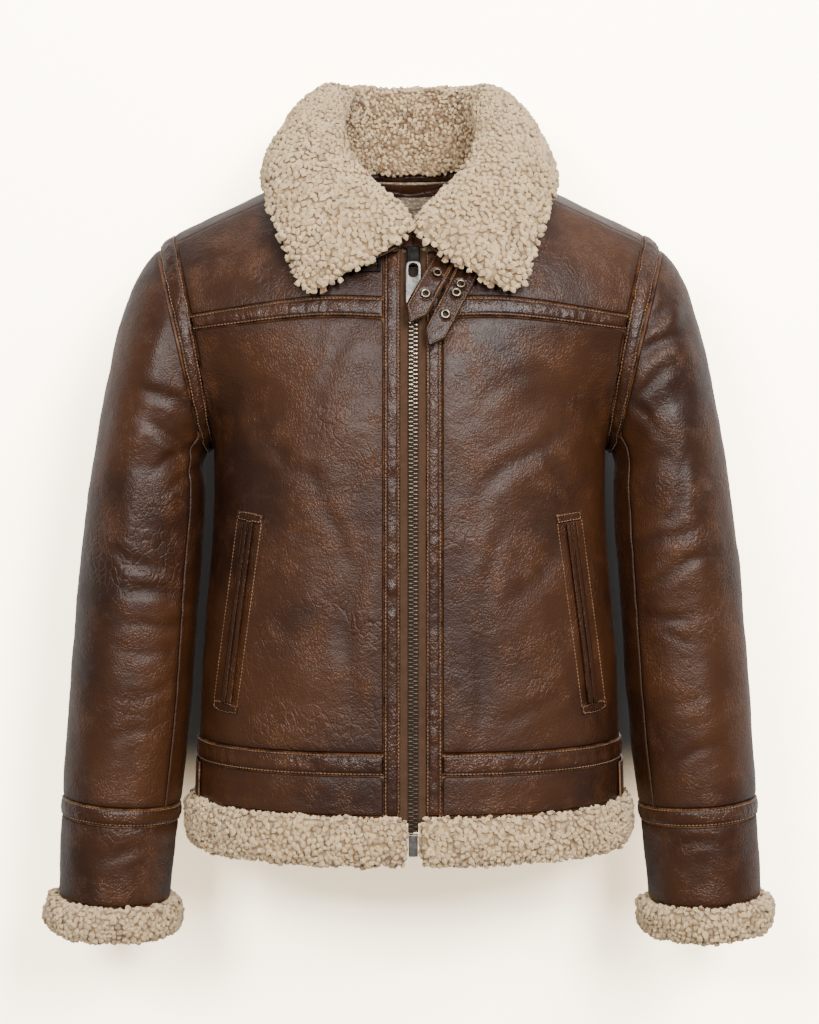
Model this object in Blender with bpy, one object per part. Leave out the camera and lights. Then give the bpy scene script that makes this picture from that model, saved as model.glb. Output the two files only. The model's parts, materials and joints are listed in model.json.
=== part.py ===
"""Shearling leather jacket with a fleece collar, hem and cuffs, filled out as on a general figure.

Metres, +Z up, the front faces -Y and the wearer's left is +X. The origin is where the wearer's
shoulders hold the jacket up. Every panel is a closed wall on one of three shared surfaces: the
torso, the sleeve and the collar.
"""

import math

import bmesh
import bpy
import numpy as np
from mathutils.bvhtree import BVHTree

# ---- driving dimensions -------------------------------------------------------------------

SEAM = 0.0003  # gap between sewn pieces
HIDE = 0.004  # shearling wall: leather with clipped wool inside
STRIP_HIDE = 0.0046  # a seam strip is a little thicker than the panels beside it
STRIP_RISE = 0.0009  # and stands this far out from them
SQUARENESS = 2.35  # power of the torso's rounded sections

ARMPIT_Z = -0.236
RIDGE_Z = 0.042  # top of the shoulder beside the neck
RIDGE_SLOPE = 0.49
RIDGE_START_X = 0.075
ARMHOLE_X_LOW = 0.187
ARMHOLE_X_RISE = 0.0365
ARMHOLE_DEPTH = 0.078
NECK_HALF_WIDTH = 0.085
SHOULDER_SEAM = 150.0  # degrees round the armhole: in front of the ridge, which is at 180
NECK_FRONT = 107.0
NECK_BACK = 137.0
NECK_BACK_SIDE = 165.0
NECK_LIFT = 0.043

ZIP_X = 0.0033  # the zip sits this far to the wearer's left of the middle
CHAIN_HALF = 0.0041
PLACKET_EDGE = 0.0116
PANEL_EDGE = 0.0260
HEM_TOP_Z = -0.5652
WAIST_TOP_Z = -0.5095
WAIST_LOW_Z = -0.5290
ZIP_TOP_Z = -0.058
ZIP_LOW_Z = -0.580

# Torso sections: height, half width, depth in front, depth behind.
TORSO = (
    (-0.630, 0.2032, 0.1405, 0.140),
    (-0.560, 0.2020, 0.1395, 0.139),
    (-0.510, 0.2005, 0.1385, 0.138),
    (-0.445, 0.1985, 0.1380, 0.137),
    (-0.389, 0.1945, 0.1375, 0.136),
    (-0.345, 0.1893, 0.1370, 0.135),
    (-0.300, 0.1873, 0.1370, 0.135),
    (ARMPIT_Z, 0.1870, 0.1370, 0.135),
)

# Sleeve sections: place, x and z at the armpit side, x and z at the outer side, half depth,
# shift to the front, hollow of the front and back lines towards the neck.
SLEEVE = (
    (1.0, 0.1935, -0.2440, 0.2390, -0.0440, 0.0800, 0.000, 0.005),
    (2.0, 0.1958, -0.2480, 0.2608, -0.0690, 0.0800, 0.001, 0.003),
    (3.0, 0.1968, -0.2520, 0.2752, -0.1110, 0.0790, 0.002, 0.001),
    (4.0, 0.1962, -0.2575, 0.2872, -0.1620, 0.0770, 0.003, 0.000),
    (5.0, 0.1950, -0.2680, 0.2962, -0.2110, 0.0740, 0.005, 0.000),
    (6.0, 0.1945, -0.2860, 0.3030, -0.2520, 0.0710, 0.007, 0.000),
    (7.0, 0.1955, -0.3200, 0.3100, -0.3050, 0.0690, 0.008, 0.000),
    (8.0, 0.2000, -0.3720, 0.3165, -0.3600, 0.0670, 0.009, 0.000),
    (9.0, 0.2035, -0.4300, 0.3212, -0.4190, 0.0650, 0.010, 0.000),
    (10.0, 0.2080, -0.4920, 0.3250, -0.4820, 0.0630, 0.011, 0.000),
    (11.0, 0.2135, -0.5400, 0.3280, -0.5310, 0.0610, 0.012, 0.000),
    (12.0, 0.2188, -0.5850, 0.3308, -0.5770, 0.0592, 0.013, 0.000),
    (13.0, 0.2250, -0.6400, 0.3335, -0.6330, 0.0572, 0.014, 0.000),
    (14.0, 0.2290, -0.6980, 0.3355, -0.6930, 0.0560, 0.015, 0.000),
)
SLEEVE_STRIP_TOP = 11.78
SLEEVE_STRIP_LOW = 12.12
CUFF_TOP = 13.44

# Soft folds of the torso: side (-1 is the wearer's right), front or back, x, z, half length,
# half width, lean from upright in degrees, depth.
TORSO_FOLDS = (
    (-1, "front", 0.048, -0.390, 0.085, 0.014, 4, 0.0022),
    (-1, "front", 0.110, -0.180, 0.060, 0.015, -38, 0.0024),
    (-1, "front", 0.150, -0.265, 0.055, 0.013, -55, 0.0020),
    (1, "front", 0.105, -0.205, 0.065, 0.016, 42, 0.0026),
    (1, "front", 0.120, -0.330, 0.075, 0.015, 30, 0.0024),
    (1, "front", 0.065, -0.430, 0.060, 0.013, 12, 0.0018),
    (-1, "back", 0.080, -0.300, 0.080, 0.018, -25, 0.0026),
    (1, "back", 0.095, -0.250, 0.070, 0.017, 30, 0.0024),
    (1, "back", 0.050, -0.430, 0.075, 0.016, -10, 0.0022),
)

# Soft folds of the sleeves: side, place along, degrees round, half length in degrees,
# half width in places, lean in places per 60 degrees, depth.
SLEEVE_FOLDS = (
    (-1, 3.6, 80, 45, 0.45, 0.9, 0.0034),
    (-1, 5.2, 75, 50, 0.35, 0.7, 0.0036),
    (-1, 7.3, 60, 45, 0.22, 0.30, 0.0030),
    (-1, 8.2, 115, 50, 0.20, -0.25, 0.0028),
    (-1, 10.6, 85, 45, 0.20, 0.22, 0.0026),
    (1, 3.4, 85, 45, 0.45, 0.8, 0.0032),
    (1, 4.9, 70, 50, 0.38, 0.8, 0.0036),
    (1, 6.8, 65, 45, 0.24, 0.35, 0.0030),
    (1, 8.6, 110, 50, 0.20, -0.20, 0.0028),
    (1, 10.3, 80, 45, 0.20, 0.25, 0.0026),
    (-1, 6.4, 275, 55, 0.30, -0.4, 0.0034),
    (-1, 8.8, 255, 50, 0.22, 0.3, 0.0030),
    (1, 6.1, 280, 55, 0.30, 0.4, 0.0034),
    (1, 8.4, 250, 50, 0.22, -0.3, 0.0030),
)

LEATHER_BROWN = (0.075, 0.030, 0.014)
STRIP_BROWN = (0.060, 0.023, 0.011)
FLEECE_CREAM = (0.62, 0.50, 0.35)
TAPE_TAN = (0.20, 0.105, 0.045)
STEEL = (0.62, 0.61, 0.59)
DARK_BRASS = (0.16, 0.13, 0.09)


# ---- collections and materials ------------------------------------------------------------


def clear_scene():
    for obj in list(bpy.data.objects):
        bpy.data.objects.remove(obj, do_unlink=True)


def new_collection(name):
    collection = bpy.data.collections.new(name)
    bpy.context.scene.collection.children.link(collection)
    return collection


clear_scene()
JACKET = new_collection("leather_jacket")
CUTTERS = new_collection("cutters")


def finish_object(obj, colour, roughness=0.6, metallic=0.0):
    """Own material and smooth shading for one piece."""
    material = bpy.data.materials.new(obj.name)
    material.use_nodes = True
    shader = material.node_tree.nodes["Principled BSDF"]
    shader.inputs["Base Color"].default_value = (*colour, 1.0)
    shader.inputs["Roughness"].default_value = roughness
    shader.inputs["Metallic"].default_value = metallic
    obj.data.materials.clear()
    obj.data.materials.append(material)
    obj.data.shade_smooth()
    obj.data.set_sharp_from_angle(angle=math.radians(50))
    return obj


def mesh_object(name, bm, colour, roughness=0.6, metallic=0.0, collection=JACKET):
    bmesh.ops.recalc_face_normals(bm, faces=bm.faces)
    mesh = bpy.data.meshes.new(name)
    bm.to_mesh(mesh)
    bm.free()
    obj = bpy.data.objects.new(name, mesh)
    collection.objects.link(obj)
    return finish_object(obj, colour, roughness, metallic)


# ---- small geometry helpers ---------------------------------------------------------------


def along(table, place):
    """The table's other columns at this value of its first, on a smooth curve through its rows."""
    rows = np.array(table, float)
    keys = rows[:, 0]
    i = int(np.clip(np.searchsorted(keys, place) - 1, 0, len(keys) - 2))
    slopes = np.gradient(rows, keys, axis=0)
    span = keys[i + 1] - keys[i]
    t = (place - keys[i]) / span
    start = (1 + 2 * t) * (1 - t) ** 2 * rows[i] + t * (1 - t) ** 2 * span * slopes[i]
    end = t * t * (3 - 2 * t) * rows[i + 1] + t * t * (t - 1) * span * slopes[i + 1]
    return (start + end)[1:]


def smoothstep(t):
    t = min(max(t, 0.0), 1.0)
    return t * t * (3 - 2 * t)


def unit(vector):
    return vector / max(float(np.linalg.norm(vector)), 1e-12)


def spread(start, end, count):
    return [start + (end - start) * i / (count - 1) for i in range(count)]


def wall(name, outer, inner, colour, ring=False, missing=(), roughness=0.6, metallic=0.0):
    """Closed wall between two grids of points. `ring` joins the last column to the first, and
    `missing` names cells (row, column) that are left open. Every cell is split the same way, so
    that layers 0.3 mm apart stay apart on twisted cells."""
    bm = bmesh.new()
    faces = [[bm.verts.new(p) for p in row] for row in outer]
    backs = [[bm.verts.new(p) for p in row] for row in inner]
    rows, columns = len(outer), len(outer[0])
    edges = {}
    for r in range(rows - 1):
        for c in range(columns if ring else columns - 1):
            if (r, c) in missing:
                continue
            d = (c + 1) % columns
            cell = [(r, c), (r, d), (r + 1, d), (r + 1, c)]
            for corners in (cell[:3], [cell[0], cell[2], cell[3]]):
                bm.faces.new([faces[i][j] for i, j in corners])
                bm.faces.new([backs[i][j] for i, j in reversed(corners)])
            for a, b in zip(cell, cell[1:] + cell[:1]):
                key = (min(a, b), max(a, b))
                edges[key] = None if key in edges else (a, b)
    for used in edges.values():
        if used:
            (i, j), (k, m) = used
            bm.faces.new((faces[k][m], faces[i][j], backs[i][j], backs[k][m]))
    bmesh.ops.delete(bm, geom=[v for v in bm.verts if not v.link_faces], context="VERTS")
    return mesh_object(name, bm, colour, roughness, metallic)


def loft(name, loops, colour, ring=False, roughness=0.9, metallic=0.0):
    """Closed body through loops of points, with flat ends unless it is a ring."""
    bm = bmesh.new()
    rows = [[bm.verts.new(p) for p in loop] for loop in loops]
    count = len(rows[0])
    pairs = list(zip(rows, rows[1:]))
    if ring:
        pairs.append((rows[-1], rows[0]))
    for low, high in pairs:
        for i in range(count):
            j = (i + 1) % count
            bm.faces.new((low[i], low[j], high[j], high[i]))
    if not ring:
        bm.faces.new(list(reversed(rows[0])))
        bm.faces.new(rows[-1])
    return mesh_object(name, bm, colour, roughness, metallic)


# ---- the torso surface --------------------------------------------------------------------
# f runs from 0 at the centre line to 1 at the side seam or armhole. v below 0 is metres under
# the armpit. From 0 on it is degrees round the armhole, with the shoulder ridge at 180 and the
# armpit again, from behind, at 360.


def quarter(angle):
    return math.sin(angle) ** (2 / SQUARENESS), math.cos(angle) ** (2 / SQUARENESS)


def rise(v):
    """Share of the armhole's height at v."""
    return (1 - math.cos(math.radians(v))) / 2


def widest_angle(v):
    """The torso's quarter section turns less at the armhole than at the side seam."""
    if v <= 0:
        return math.pi / 2
    return math.radians(90 - 33 * smoothstep(rise(v) / 0.37))


def half_width(v):
    if v < 0:
        return along(TORSO, ARMPIT_Z + v)[0]
    return ARMHOLE_X_LOW + ARMHOLE_X_RISE * rise(v) ** 1.6


def share_at(x, v):
    """The share f at which the section v reaches this x."""
    widest = widest_angle(min(v, 360 - v))
    across = min(x / half_width(v), 1.0) * quarter(widest)[0]
    return math.asin(across ** (SQUARENESS / 2)) / widest


def ridge_z(x):
    past = x - RIDGE_START_X
    return RIDGE_Z - RIDGE_SLOPE * 0.5 * (past + math.hypot(past, 0.03))


NECK_SHARE = share_at(NECK_HALF_WIDTH, SHOULDER_SEAM)


def torso_half(f, v, back):
    """Point of the torso's +X half before folds and before the zip's shift."""
    if v > 180:
        return torso_half(f, 360 - v, not back)
    widest = widest_angle(v)
    reach, remain = quarter(widest)
    across, depth = quarter(f * widest)
    across = across / reach
    depth = (depth - remain) / (1 - remain)
    if v < 0:
        width, front, behind = along(TORSO, ARMPIT_Z + v)
        return np.array((width * across, behind * depth if back else -front * depth, ARMPIT_Z + v))
    w = rise(v)
    x = half_width(v) * across
    _, front, behind = along(TORSO, ARMPIT_Z)
    lean = math.sqrt(max(0.0, 1 - w**2.2))
    centre_depth = (behind if back else front) * lean
    round_edge = math.sin(math.radians(v))
    soft_edge = round_edge if w > 0.5 else smoothstep(w / 0.5)
    edge_depth = ARMHOLE_DEPTH * (soft_edge + (round_edge - soft_edge) * f**6)
    y = edge_depth * (1 - depth) + centre_depth * depth
    lift = NECK_LIFT * max(0.0, 1 - (f / NECK_SHARE) ** 2) ** 2 if back else 0.0
    z = ARMPIT_Z + (ridge_z(x) - ARMPIT_Z) * w + lift * w**4
    return np.array((x, y if back else -y, z))


def torso_normal(f, v, back):
    f = min(max(f, 0.02), 0.965)
    if 0 <= v < 16:
        v = 16
    if 344 < v <= 360:
        v = 344
    step = 0.002 if v < 0 else 2.0
    side = torso_half(f + 0.02, v, back) - torso_half(f - 0.02, v, back)
    up = torso_half(f, v + step, back) - torso_half(f, v - step, back)
    normal = unit(np.cross(side, up))
    middle = np.array((0.0, 0.0, -0.15))
    point = torso_half(f, v, back)
    if v < 0:
        middle[2] = point[2]
    return normal if normal @ (point - middle) > 0 else -normal


def torso_fold(side, x, z, back):
    depth = 0.0
    for fold_side, where, fold_x, fold_z, half_length, half_width_, lean, deep in TORSO_FOLDS:
        if fold_side != side or (where == "back") != back:
            continue
        turn = math.radians(lean)
        dx, dz = x - fold_x, z - fold_z
        along_it = dx * math.sin(turn) + dz * math.cos(turn)
        across_it = dx * math.cos(turn) - dz * math.sin(turn)
        depth += deep * math.exp(-((along_it / half_length) ** 2) - (across_it / half_width_) ** 2)
    return depth


def settle(point):
    """The front's middle is shifted to the zip."""
    share = smoothstep(-point[1] / 0.09) * math.exp(-((point[0] / 0.09) ** 2))
    return point + np.array((ZIP_X * share, 0.0, 0.0))


def torso(side, f, v, back, out=0.0, folds=True):
    """Point of the torso, `out` metres outside its surface. side is 1 for +X."""
    point = torso_half(f, v, back)
    normal = torso_normal(f, v, back)
    if folds:
        out -= torso_fold(side, point[0], point[2], back)
    point = (point + normal * out) * np.array((side, 1, 1))
    return settle(point)


def section_of(x, z):
    """The section v through a point of the front or back with this x and z."""
    if z < ARMPIT_Z:
        return z - ARMPIT_Z
    w = (z - ARMPIT_Z) / (ridge_z(x) - ARMPIT_Z)
    return math.degrees(math.acos(1 - 2 * min(w, 1.0)))


def torso_at(x, z, out=0.0, back=False):
    """Point on the front or back at this signed x, measured from the zip's line."""
    v = section_of(abs(x), z)
    return torso(1 if x >= 0 else -1, share_at(abs(x), v), v, back, out, folds=False)


# ---- torso panels -------------------------------------------------------------------------


def neck_limit(f, back):
    """The section v at which a panel ends: the neckline, then the shoulder seam in front."""
    share = min(f / NECK_SHARE, 1.0)
    if back:
        return NECK_BACK + (NECK_BACK_SIDE - NECK_BACK) * share**2
    return NECK_FRONT + (SHOULDER_SEAM - NECK_FRONT) * share**1.5


def yoke_line(f):
    """The yoke seam rises a little from the armhole to the middle, in degrees round the armhole."""
    return YOKE_AT_ARMHOLE - 9.5 * (1 - f)


def panel(name, side, columns, rows, back=False, rise_out=0.0, thickness=HIDE, colour=LEATHER_BROWN):
    """Wall on the torso. columns(v) gives the shares f of a row; rows are functions of f."""
    outer, inner = [], []
    for row in rows:
        shares = columns(row(0.0))
        sides = side if isinstance(side, list) else [side] * len(shares)
        places = [(s, f, row(f)) for s, f in zip(sides, shares)]
        outer.append([torso(s, f, v, back, rise_out) for s, f, v in places])
        inner.append([torso(s, f, v, back, rise_out - thickness) for s, f, v in places])
    return wall(name, outer, inner, colour)


def level(z):
    return lambda f: z - ARMPIT_Z


def degrees(v):
    return lambda f: v


def between(low, high, share):
    return lambda f: low(f) + (high(f) - low(f)) * share


# Columns of a front panel from the placket to the side, as shares of the way.
FRONT_STEPS = (0.0, 0.1, 0.21, 0.33, 0.46, 0.6, 0.73, 0.85, 0.94, 1.0)
BACK_STEPS = (0.0, 0.36 * NECK_SHARE, 0.7 * NECK_SHARE, NECK_SHARE, 0.4, 0.54, 0.68, 0.81, 0.92, 1.0)
SIDE_TRIM = 0.0010  # share of the half section left open at a side seam: about 0.3 mm
YOKE_AT_ARMHOLE = 90.0
YOKE_STRIP_DEGREES = 7.6
BACK_YOKE_LOW = 84.0
BACK_YOKE_TOP = 92.0
# Points round the armhole and the sleeve. They stand at every seam that meets the armhole, so that
# the panels' edges and the band's edge are the same line.
FRONT_TURNS = [0, 18, 36, 54, 72, YOKE_AT_ARMHOLE, YOKE_AT_ARMHOLE + YOKE_STRIP_DEGREES, 108, 128,
               SHOULDER_SEAM, 165, 180]
BACK_TURNS = [18, 39, 60, 72, BACK_YOKE_LOW, BACK_YOKE_TOP, 108, 126, 144, NECK_BACK_SIDE]
RING_TURNS = FRONT_TURNS + [360 - v for v in reversed(BACK_TURNS)]
UP_TRIM = 0.16  # degrees round the armhole that make the same gap
ARMPIT_START = 1.5  # degrees: front and back part here, under the armhole band


def front_columns(v):
    start = share_at(PANEL_EDGE, v)
    return [start + (1 - SIDE_TRIM - start) * step for step in FRONT_STEPS]


def back_columns(v):
    right = [(1 - SIDE_TRIM) * step for step in reversed(BACK_STEPS[1:])]
    return right + [(1 - SIDE_TRIM) * step for step in BACK_STEPS]


BACK_SIDES = [-1] * (len(BACK_STEPS) - 1) + [1] * len(BACK_STEPS)
LOW_LEVELS = spread(WAIST_TOP_Z + SEAM, ARMPIT_Z - 0.012, 7)
WAIST_ROWS = [level(z) for z in (WAIST_LOW_Z + SEAM, (WAIST_LOW_Z + WAIST_TOP_Z) / 2, WAIST_TOP_Z)]
HEM_ROWS = [level(z) for z in spread(HEM_TOP_Z + SEAM, WAIST_LOW_Z, 3)]


def trimmed(row, amount):
    return lambda f: row(f) + amount


def neck_edge(back):
    return lambda f: neck_limit(f, back) - UP_TRIM


def ring_rows(low, high, turns):
    """Rows between two seams that meet the armhole where the band has its points."""
    start, end = low(1.0), high(1.0)
    stops = [v for v in turns if start + 3 < v < end - 3]
    return [between(low, high, (v - start) / (end - start)) for v in [start] + stops + [end]]


for side, hand in ((-1, "right"), (1, "left")):
    low_rows = [level(z) for z in LOW_LEVELS]
    low_rows += ring_rows(degrees(ARMPIT_START), trimmed(yoke_line, -UP_TRIM), FRONT_TURNS)
    panel(f"front_lower_{hand}", side, front_columns, low_rows)
    strip_top = trimmed(yoke_line, YOKE_STRIP_DEGREES)
    strip_rows = [between(yoke_line, trimmed(strip_top, -UP_TRIM), s) for s in (0, 0.5, 1)]
    panel(f"yoke_strip_{hand}", side, front_columns, strip_rows, False, STRIP_RISE, STRIP_HIDE, STRIP_BROWN)
    panel(f"front_yoke_{hand}", side, front_columns, ring_rows(strip_top, neck_edge(False), FRONT_TURNS))
    panel(f"waist_strip_{hand}", side, front_columns, WAIST_ROWS, False, STRIP_RISE, STRIP_HIDE, STRIP_BROWN)
    panel(f"hem_panel_{hand}", side, front_columns, HEM_ROWS)

back_low_rows = [level(z) for z in LOW_LEVELS]
back_low_rows += ring_rows(degrees(ARMPIT_START), degrees(BACK_YOKE_LOW - UP_TRIM), BACK_TURNS)
panel("back_lower", BACK_SIDES, back_columns, back_low_rows, True)
back_strip_rows = [degrees(v) for v in spread(BACK_YOKE_LOW, BACK_YOKE_TOP - UP_TRIM, 3)]
panel("yoke_strip_back", BACK_SIDES, back_columns, back_strip_rows, True, STRIP_RISE, STRIP_HIDE, STRIP_BROWN)
panel("waist_strip_back", BACK_SIDES, back_columns, WAIST_ROWS, True, STRIP_RISE, STRIP_HIDE, STRIP_BROWN)
panel("hem_panel_back", BACK_SIDES, back_columns, HEM_ROWS, True)


def make_back_yoke():
    """The back yoke runs up to the neckline and over the shoulder ridge to the front seams."""
    shares = back_columns(0)
    rises = ring_rows(degrees(BACK_YOKE_TOP), neck_edge(True), BACK_TURNS)
    over = [degrees(v) for v in (180, 195, 360 - SHOULDER_SEAM - UP_TRIM)]
    outer, inner = [], []
    for row in rises + over:
        places = [(s, f, row(f)) for s, f in zip(BACK_SIDES, shares)]
        outer.append([torso(s, f, v, True, 0) for s, f, v in places])
        inner.append([torso(s, f, v, True, -HIDE) for s, f, v in places])
    middle = len(BACK_STEPS) - 1
    neck_cells = range(middle - 3, middle + 3)
    missing = {(r, c) for r in range(len(rises) - 1, len(outer) - 1) for c in neck_cells}
    return wall("back_yoke", outer, inner, LEATHER_BROWN, missing=missing)


make_back_yoke()


# ---- plackets, zip ------------------------------------------------------------------------

TAPE_SUNK = 0.0012  # the tape's face under the panels' face
TAPE_THICK = 0.0018
CHAIN_FRONT = 0.0010  # the teeth's front above the panels' face
CHAIN_BACK = 0.0028
CHAIN_STOPS = 0.0155  # the teeth end this far under the zip's top, in the slider
ZIP_ROWS = spread(HEM_TOP_Z + SEAM, ARMPIT_Z - 0.012, 10) + spread(ARMPIT_Z + 0.012, ZIP_TOP_Z, 7)


def front_strip(name, side, near, far, low_z, top_z, out, thickness, colour, steps=3):
    """Upright strip beside the zip, between two distances from it."""
    heights = [low_z] + [z for z in ZIP_ROWS if low_z + 0.006 < z < top_z - 0.006] + [top_z]
    outer, inner = [], []
    for z in heights:
        xs = [side * x for x in spread(near, far, steps)]
        outer.append([torso_at(x, z, out) for x in xs])
        inner.append([torso_at(x, z, out - thickness) for x in xs])
    return wall(name, outer, inner, colour)


for side, hand in ((-1, "right"), (1, "left")):
    front_strip(f"placket_{hand}", side, PLACKET_EDGE, PANEL_EDGE - SEAM, HEM_TOP_Z + SEAM, ZIP_TOP_Z,
                STRIP_RISE, STRIP_HIDE, STRIP_BROWN)
    front_strip(f"zip_tape_{hand}", side, CHAIN_HALF + SEAM, PLACKET_EDGE - SEAM, HEM_TOP_Z + SEAM, ZIP_TOP_Z,
                -TAPE_SUNK, TAPE_THICK, TAPE_TAN, 2)


def make_chain():
    """The closed zip's teeth as one plain bar."""
    outer, inner = [], []
    top = ZIP_TOP_Z - CHAIN_STOPS
    for z in [ZIP_LOW_Z] + [z for z in ZIP_ROWS if z < top - SEAM] + [top]:
        outer.append([torso_at(x, z, CHAIN_FRONT) for x in (-CHAIN_HALF, CHAIN_HALF)])
        inner.append([torso_at(x, z, -CHAIN_BACK) for x in (-CHAIN_HALF, CHAIN_HALF)])
    return wall("zip_chain", outer, inner, STEEL, roughness=0.35, metallic=0.9)


make_chain()


# ---- armhole bands, sleeves, cuffs --------------------------------------------------------
# t is a place in the sleeve table, where 0 is the torso's armhole edge. The turn runs round the
# sleeve in degrees as it does round the armhole.


def sleeve_section(t, turn):
    low_x, low_z, high_x, high_z, depth, forward, hollow = along(SLEEVE, t)
    w = rise(turn)
    x = low_x + (high_x - low_x) * w - hollow * 4 * w * (1 - w)
    z = low_z + (high_z - low_z) * w
    return np.array((x, -forward - depth * math.sin(math.radians(turn)), z))


def sleeve_half(t, turn):
    if t >= 1:
        return sleeve_section(t, turn)
    edge = torso_half(1.0, turn % 360, False)
    return edge * (1 - t) + sleeve_section(1.0, turn) * t


def sleeve_fold(side, t, turn):
    depth = 0.0
    for fold_side, place, round_at, half_length, half_width_, lean, deep in SLEEVE_FOLDS:
        if fold_side != side:
            continue
        away = (turn - round_at + 180) % 360 - 180
        across_it = t - place - lean * away / 60
        depth += deep * math.exp(-((away / half_length) ** 2) - (across_it / half_width_) ** 2)
    return depth


def sleeve_normal(t, turn):
    forward = sleeve_half(t + 0.15, turn) - sleeve_half(max(t - 0.15, 0.05), turn)
    round_it = sleeve_half(t, turn + 4) - sleeve_half(t, turn - 4)
    normal = unit(np.cross(forward, round_it))
    middle = (sleeve_half(t, 0) + sleeve_half(t, 180)) / 2
    return normal if normal @ (sleeve_half(t, turn) - middle) > 0 else -normal


def sleeve(side, t, turn, out=0.0):
    if t > 1.5:
        out -= sleeve_fold(side, t, turn)
    point = sleeve_half(t, turn) + sleeve_normal(t, turn) * out
    return point * np.array((side, 1, 1))


def tube(name, side, places, turns, out=0.0, thickness=HIDE, colour=LEATHER_BROWN, bulge=0.0):
    """Wall on the sleeve between places, all round or over a range of turns."""
    ring = turns is RING_TURNS
    outer, inner = [], []
    for i, t in enumerate(places):
        swell = out + bulge * math.sin(math.pi * i / (len(places) - 1))
        outer.append([sleeve(side, t, turn, swell) for turn in turns])
        inner.append([sleeve(side, t, turn, out - thickness) for turn in turns])
    return wall(name, outer, inner, colour, ring=ring)


FRONT_SEAM_TURN = 36.0
BACK_SEAM_TURN = -60.0
TURN_TRIM = 0.17  # degrees on each side of a lengthwise seam
PLACE_TRIM = 0.02
SLEEVE_PLACES = [1.10, 2, 3, 3.6, 4.2, 4.8, 5.4, 6, 6.6, 7.3, 8, 8.6, 9.3, 10, 10.7, 11.4]
SLEEVE_PLACES.append(SLEEVE_STRIP_TOP - PLACE_TRIM / 2)
TOP_TURNS = [FRONT_SEAM_TURN + TURN_TRIM]
TOP_TURNS += [v for v in RING_TURNS if FRONT_SEAM_TURN < v < 360 + BACK_SEAM_TURN]
TOP_TURNS.append(360 + BACK_SEAM_TURN - TURN_TRIM)
UNDER_TURNS = [BACK_SEAM_TURN + TURN_TRIM, -39, -18, 0, 18, FRONT_SEAM_TURN - TURN_TRIM]
CUFF_INSIDE = -0.0070
CUFF_PROFILE = (  # metres out from the sleeve's leather, share of the cuff's height from its top
    (CUFF_INSIDE, 0.01),
    (0.0015, 0.0),
    (0.0085, 0.03),
    (0.0118, 0.22),
    (0.0128, 0.55),
    (0.0110, 0.86),
    (0.0050, 0.99),
    (-0.0020, 0.99),
    (CUFF_INSIDE, 0.90),
)
CUFF_LOW = 14.0

for side, hand in ((-1, "right"), (1, "left")):
    tube(f"armhole_band_{hand}", side, (0.045, 0.35, 0.68, 0.985), RING_TURNS, 0.0, HIDE, STRIP_BROWN, STRIP_RISE)
    tube(f"sleeve_top_{hand}", side, SLEEVE_PLACES, TOP_TURNS)
    tube(f"sleeve_under_{hand}", side, SLEEVE_PLACES, UNDER_TURNS)
    strip_places = spread(SLEEVE_STRIP_TOP, SLEEVE_STRIP_LOW - PLACE_TRIM / 2, 3)
    tube(f"sleeve_strip_{hand}", side, strip_places, RING_TURNS, STRIP_RISE / 2, STRIP_HIDE, STRIP_BROWN)
    tube(f"sleeve_end_{hand}", side, spread(SLEEVE_STRIP_LOW, CUFF_TOP - PLACE_TRIM / 2, 4), RING_TURNS)
    cuff_loops = [
        [sleeve(side, CUFF_TOP + (CUFF_LOW - CUFF_TOP) * down, turn, out) for out, down in CUFF_PROFILE]
        for turn in RING_TURNS
    ]
    loft(f"cuff_fleece_{hand}", cuff_loops, FLEECE_CREAM, ring=True)


# ---- fleece hem ---------------------------------------------------------------------------

HEM_PROFILE = (  # metres out from the torso's leather, height
    (-0.0070, HEM_TOP_Z),
    (0.0040, HEM_TOP_Z),
    (0.0090, -0.5665),
    (0.0112, -0.5760),
    (0.0120, -0.5890),
    (0.0104, -0.6020),
    (0.0055, -0.6090),
    (-0.0010, -0.6100),
    (-0.0070, -0.6050),
)
HEM_END_X = 0.0052


def hem_loop(side, f, back):
    return [torso(side, f, z - ARMPIT_Z, back, out) for out, z in HEM_PROFILE]


for side, hand in ((-1, "right"), (1, "left")):
    start = share_at(HEM_END_X, HEM_TOP_Z - ARMPIT_Z)
    shares = [start, start + 0.03] + front_columns(HEM_TOP_Z - ARMPIT_Z)
    loft(f"hem_fleece_{hand}", [hem_loop(side, f, False) for f in shares], FLEECE_CREAM)
hem_shares = back_columns(HEM_TOP_Z - ARMPIT_Z)
loft("hem_fleece_back", [hem_loop(s, f, True) for s, f in zip(BACK_SIDES, hem_shares)], FLEECE_CREAM)


# ---- collar -------------------------------------------------------------------------------
# One shearling sheet: it stands up from the neckline, rolls over and falls on the shoulders.
# Its leather side faces into the fold and its wool side shows.

COLLAR_LEATHER = 0.0022
COLLAR_FLEECE = 0.0125
COLLAR_LAYER_GAP = 0.0013
COLLAR_FOOT = 0.0009  # the collar's foot above the neckline
COLLAR_CLEAR = 0.0035  # the fall's leather above the shoulders
COLLAR_MIDDLE_GAP = 0.0004  # half the gap where the two leaves meet at the zip

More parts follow.
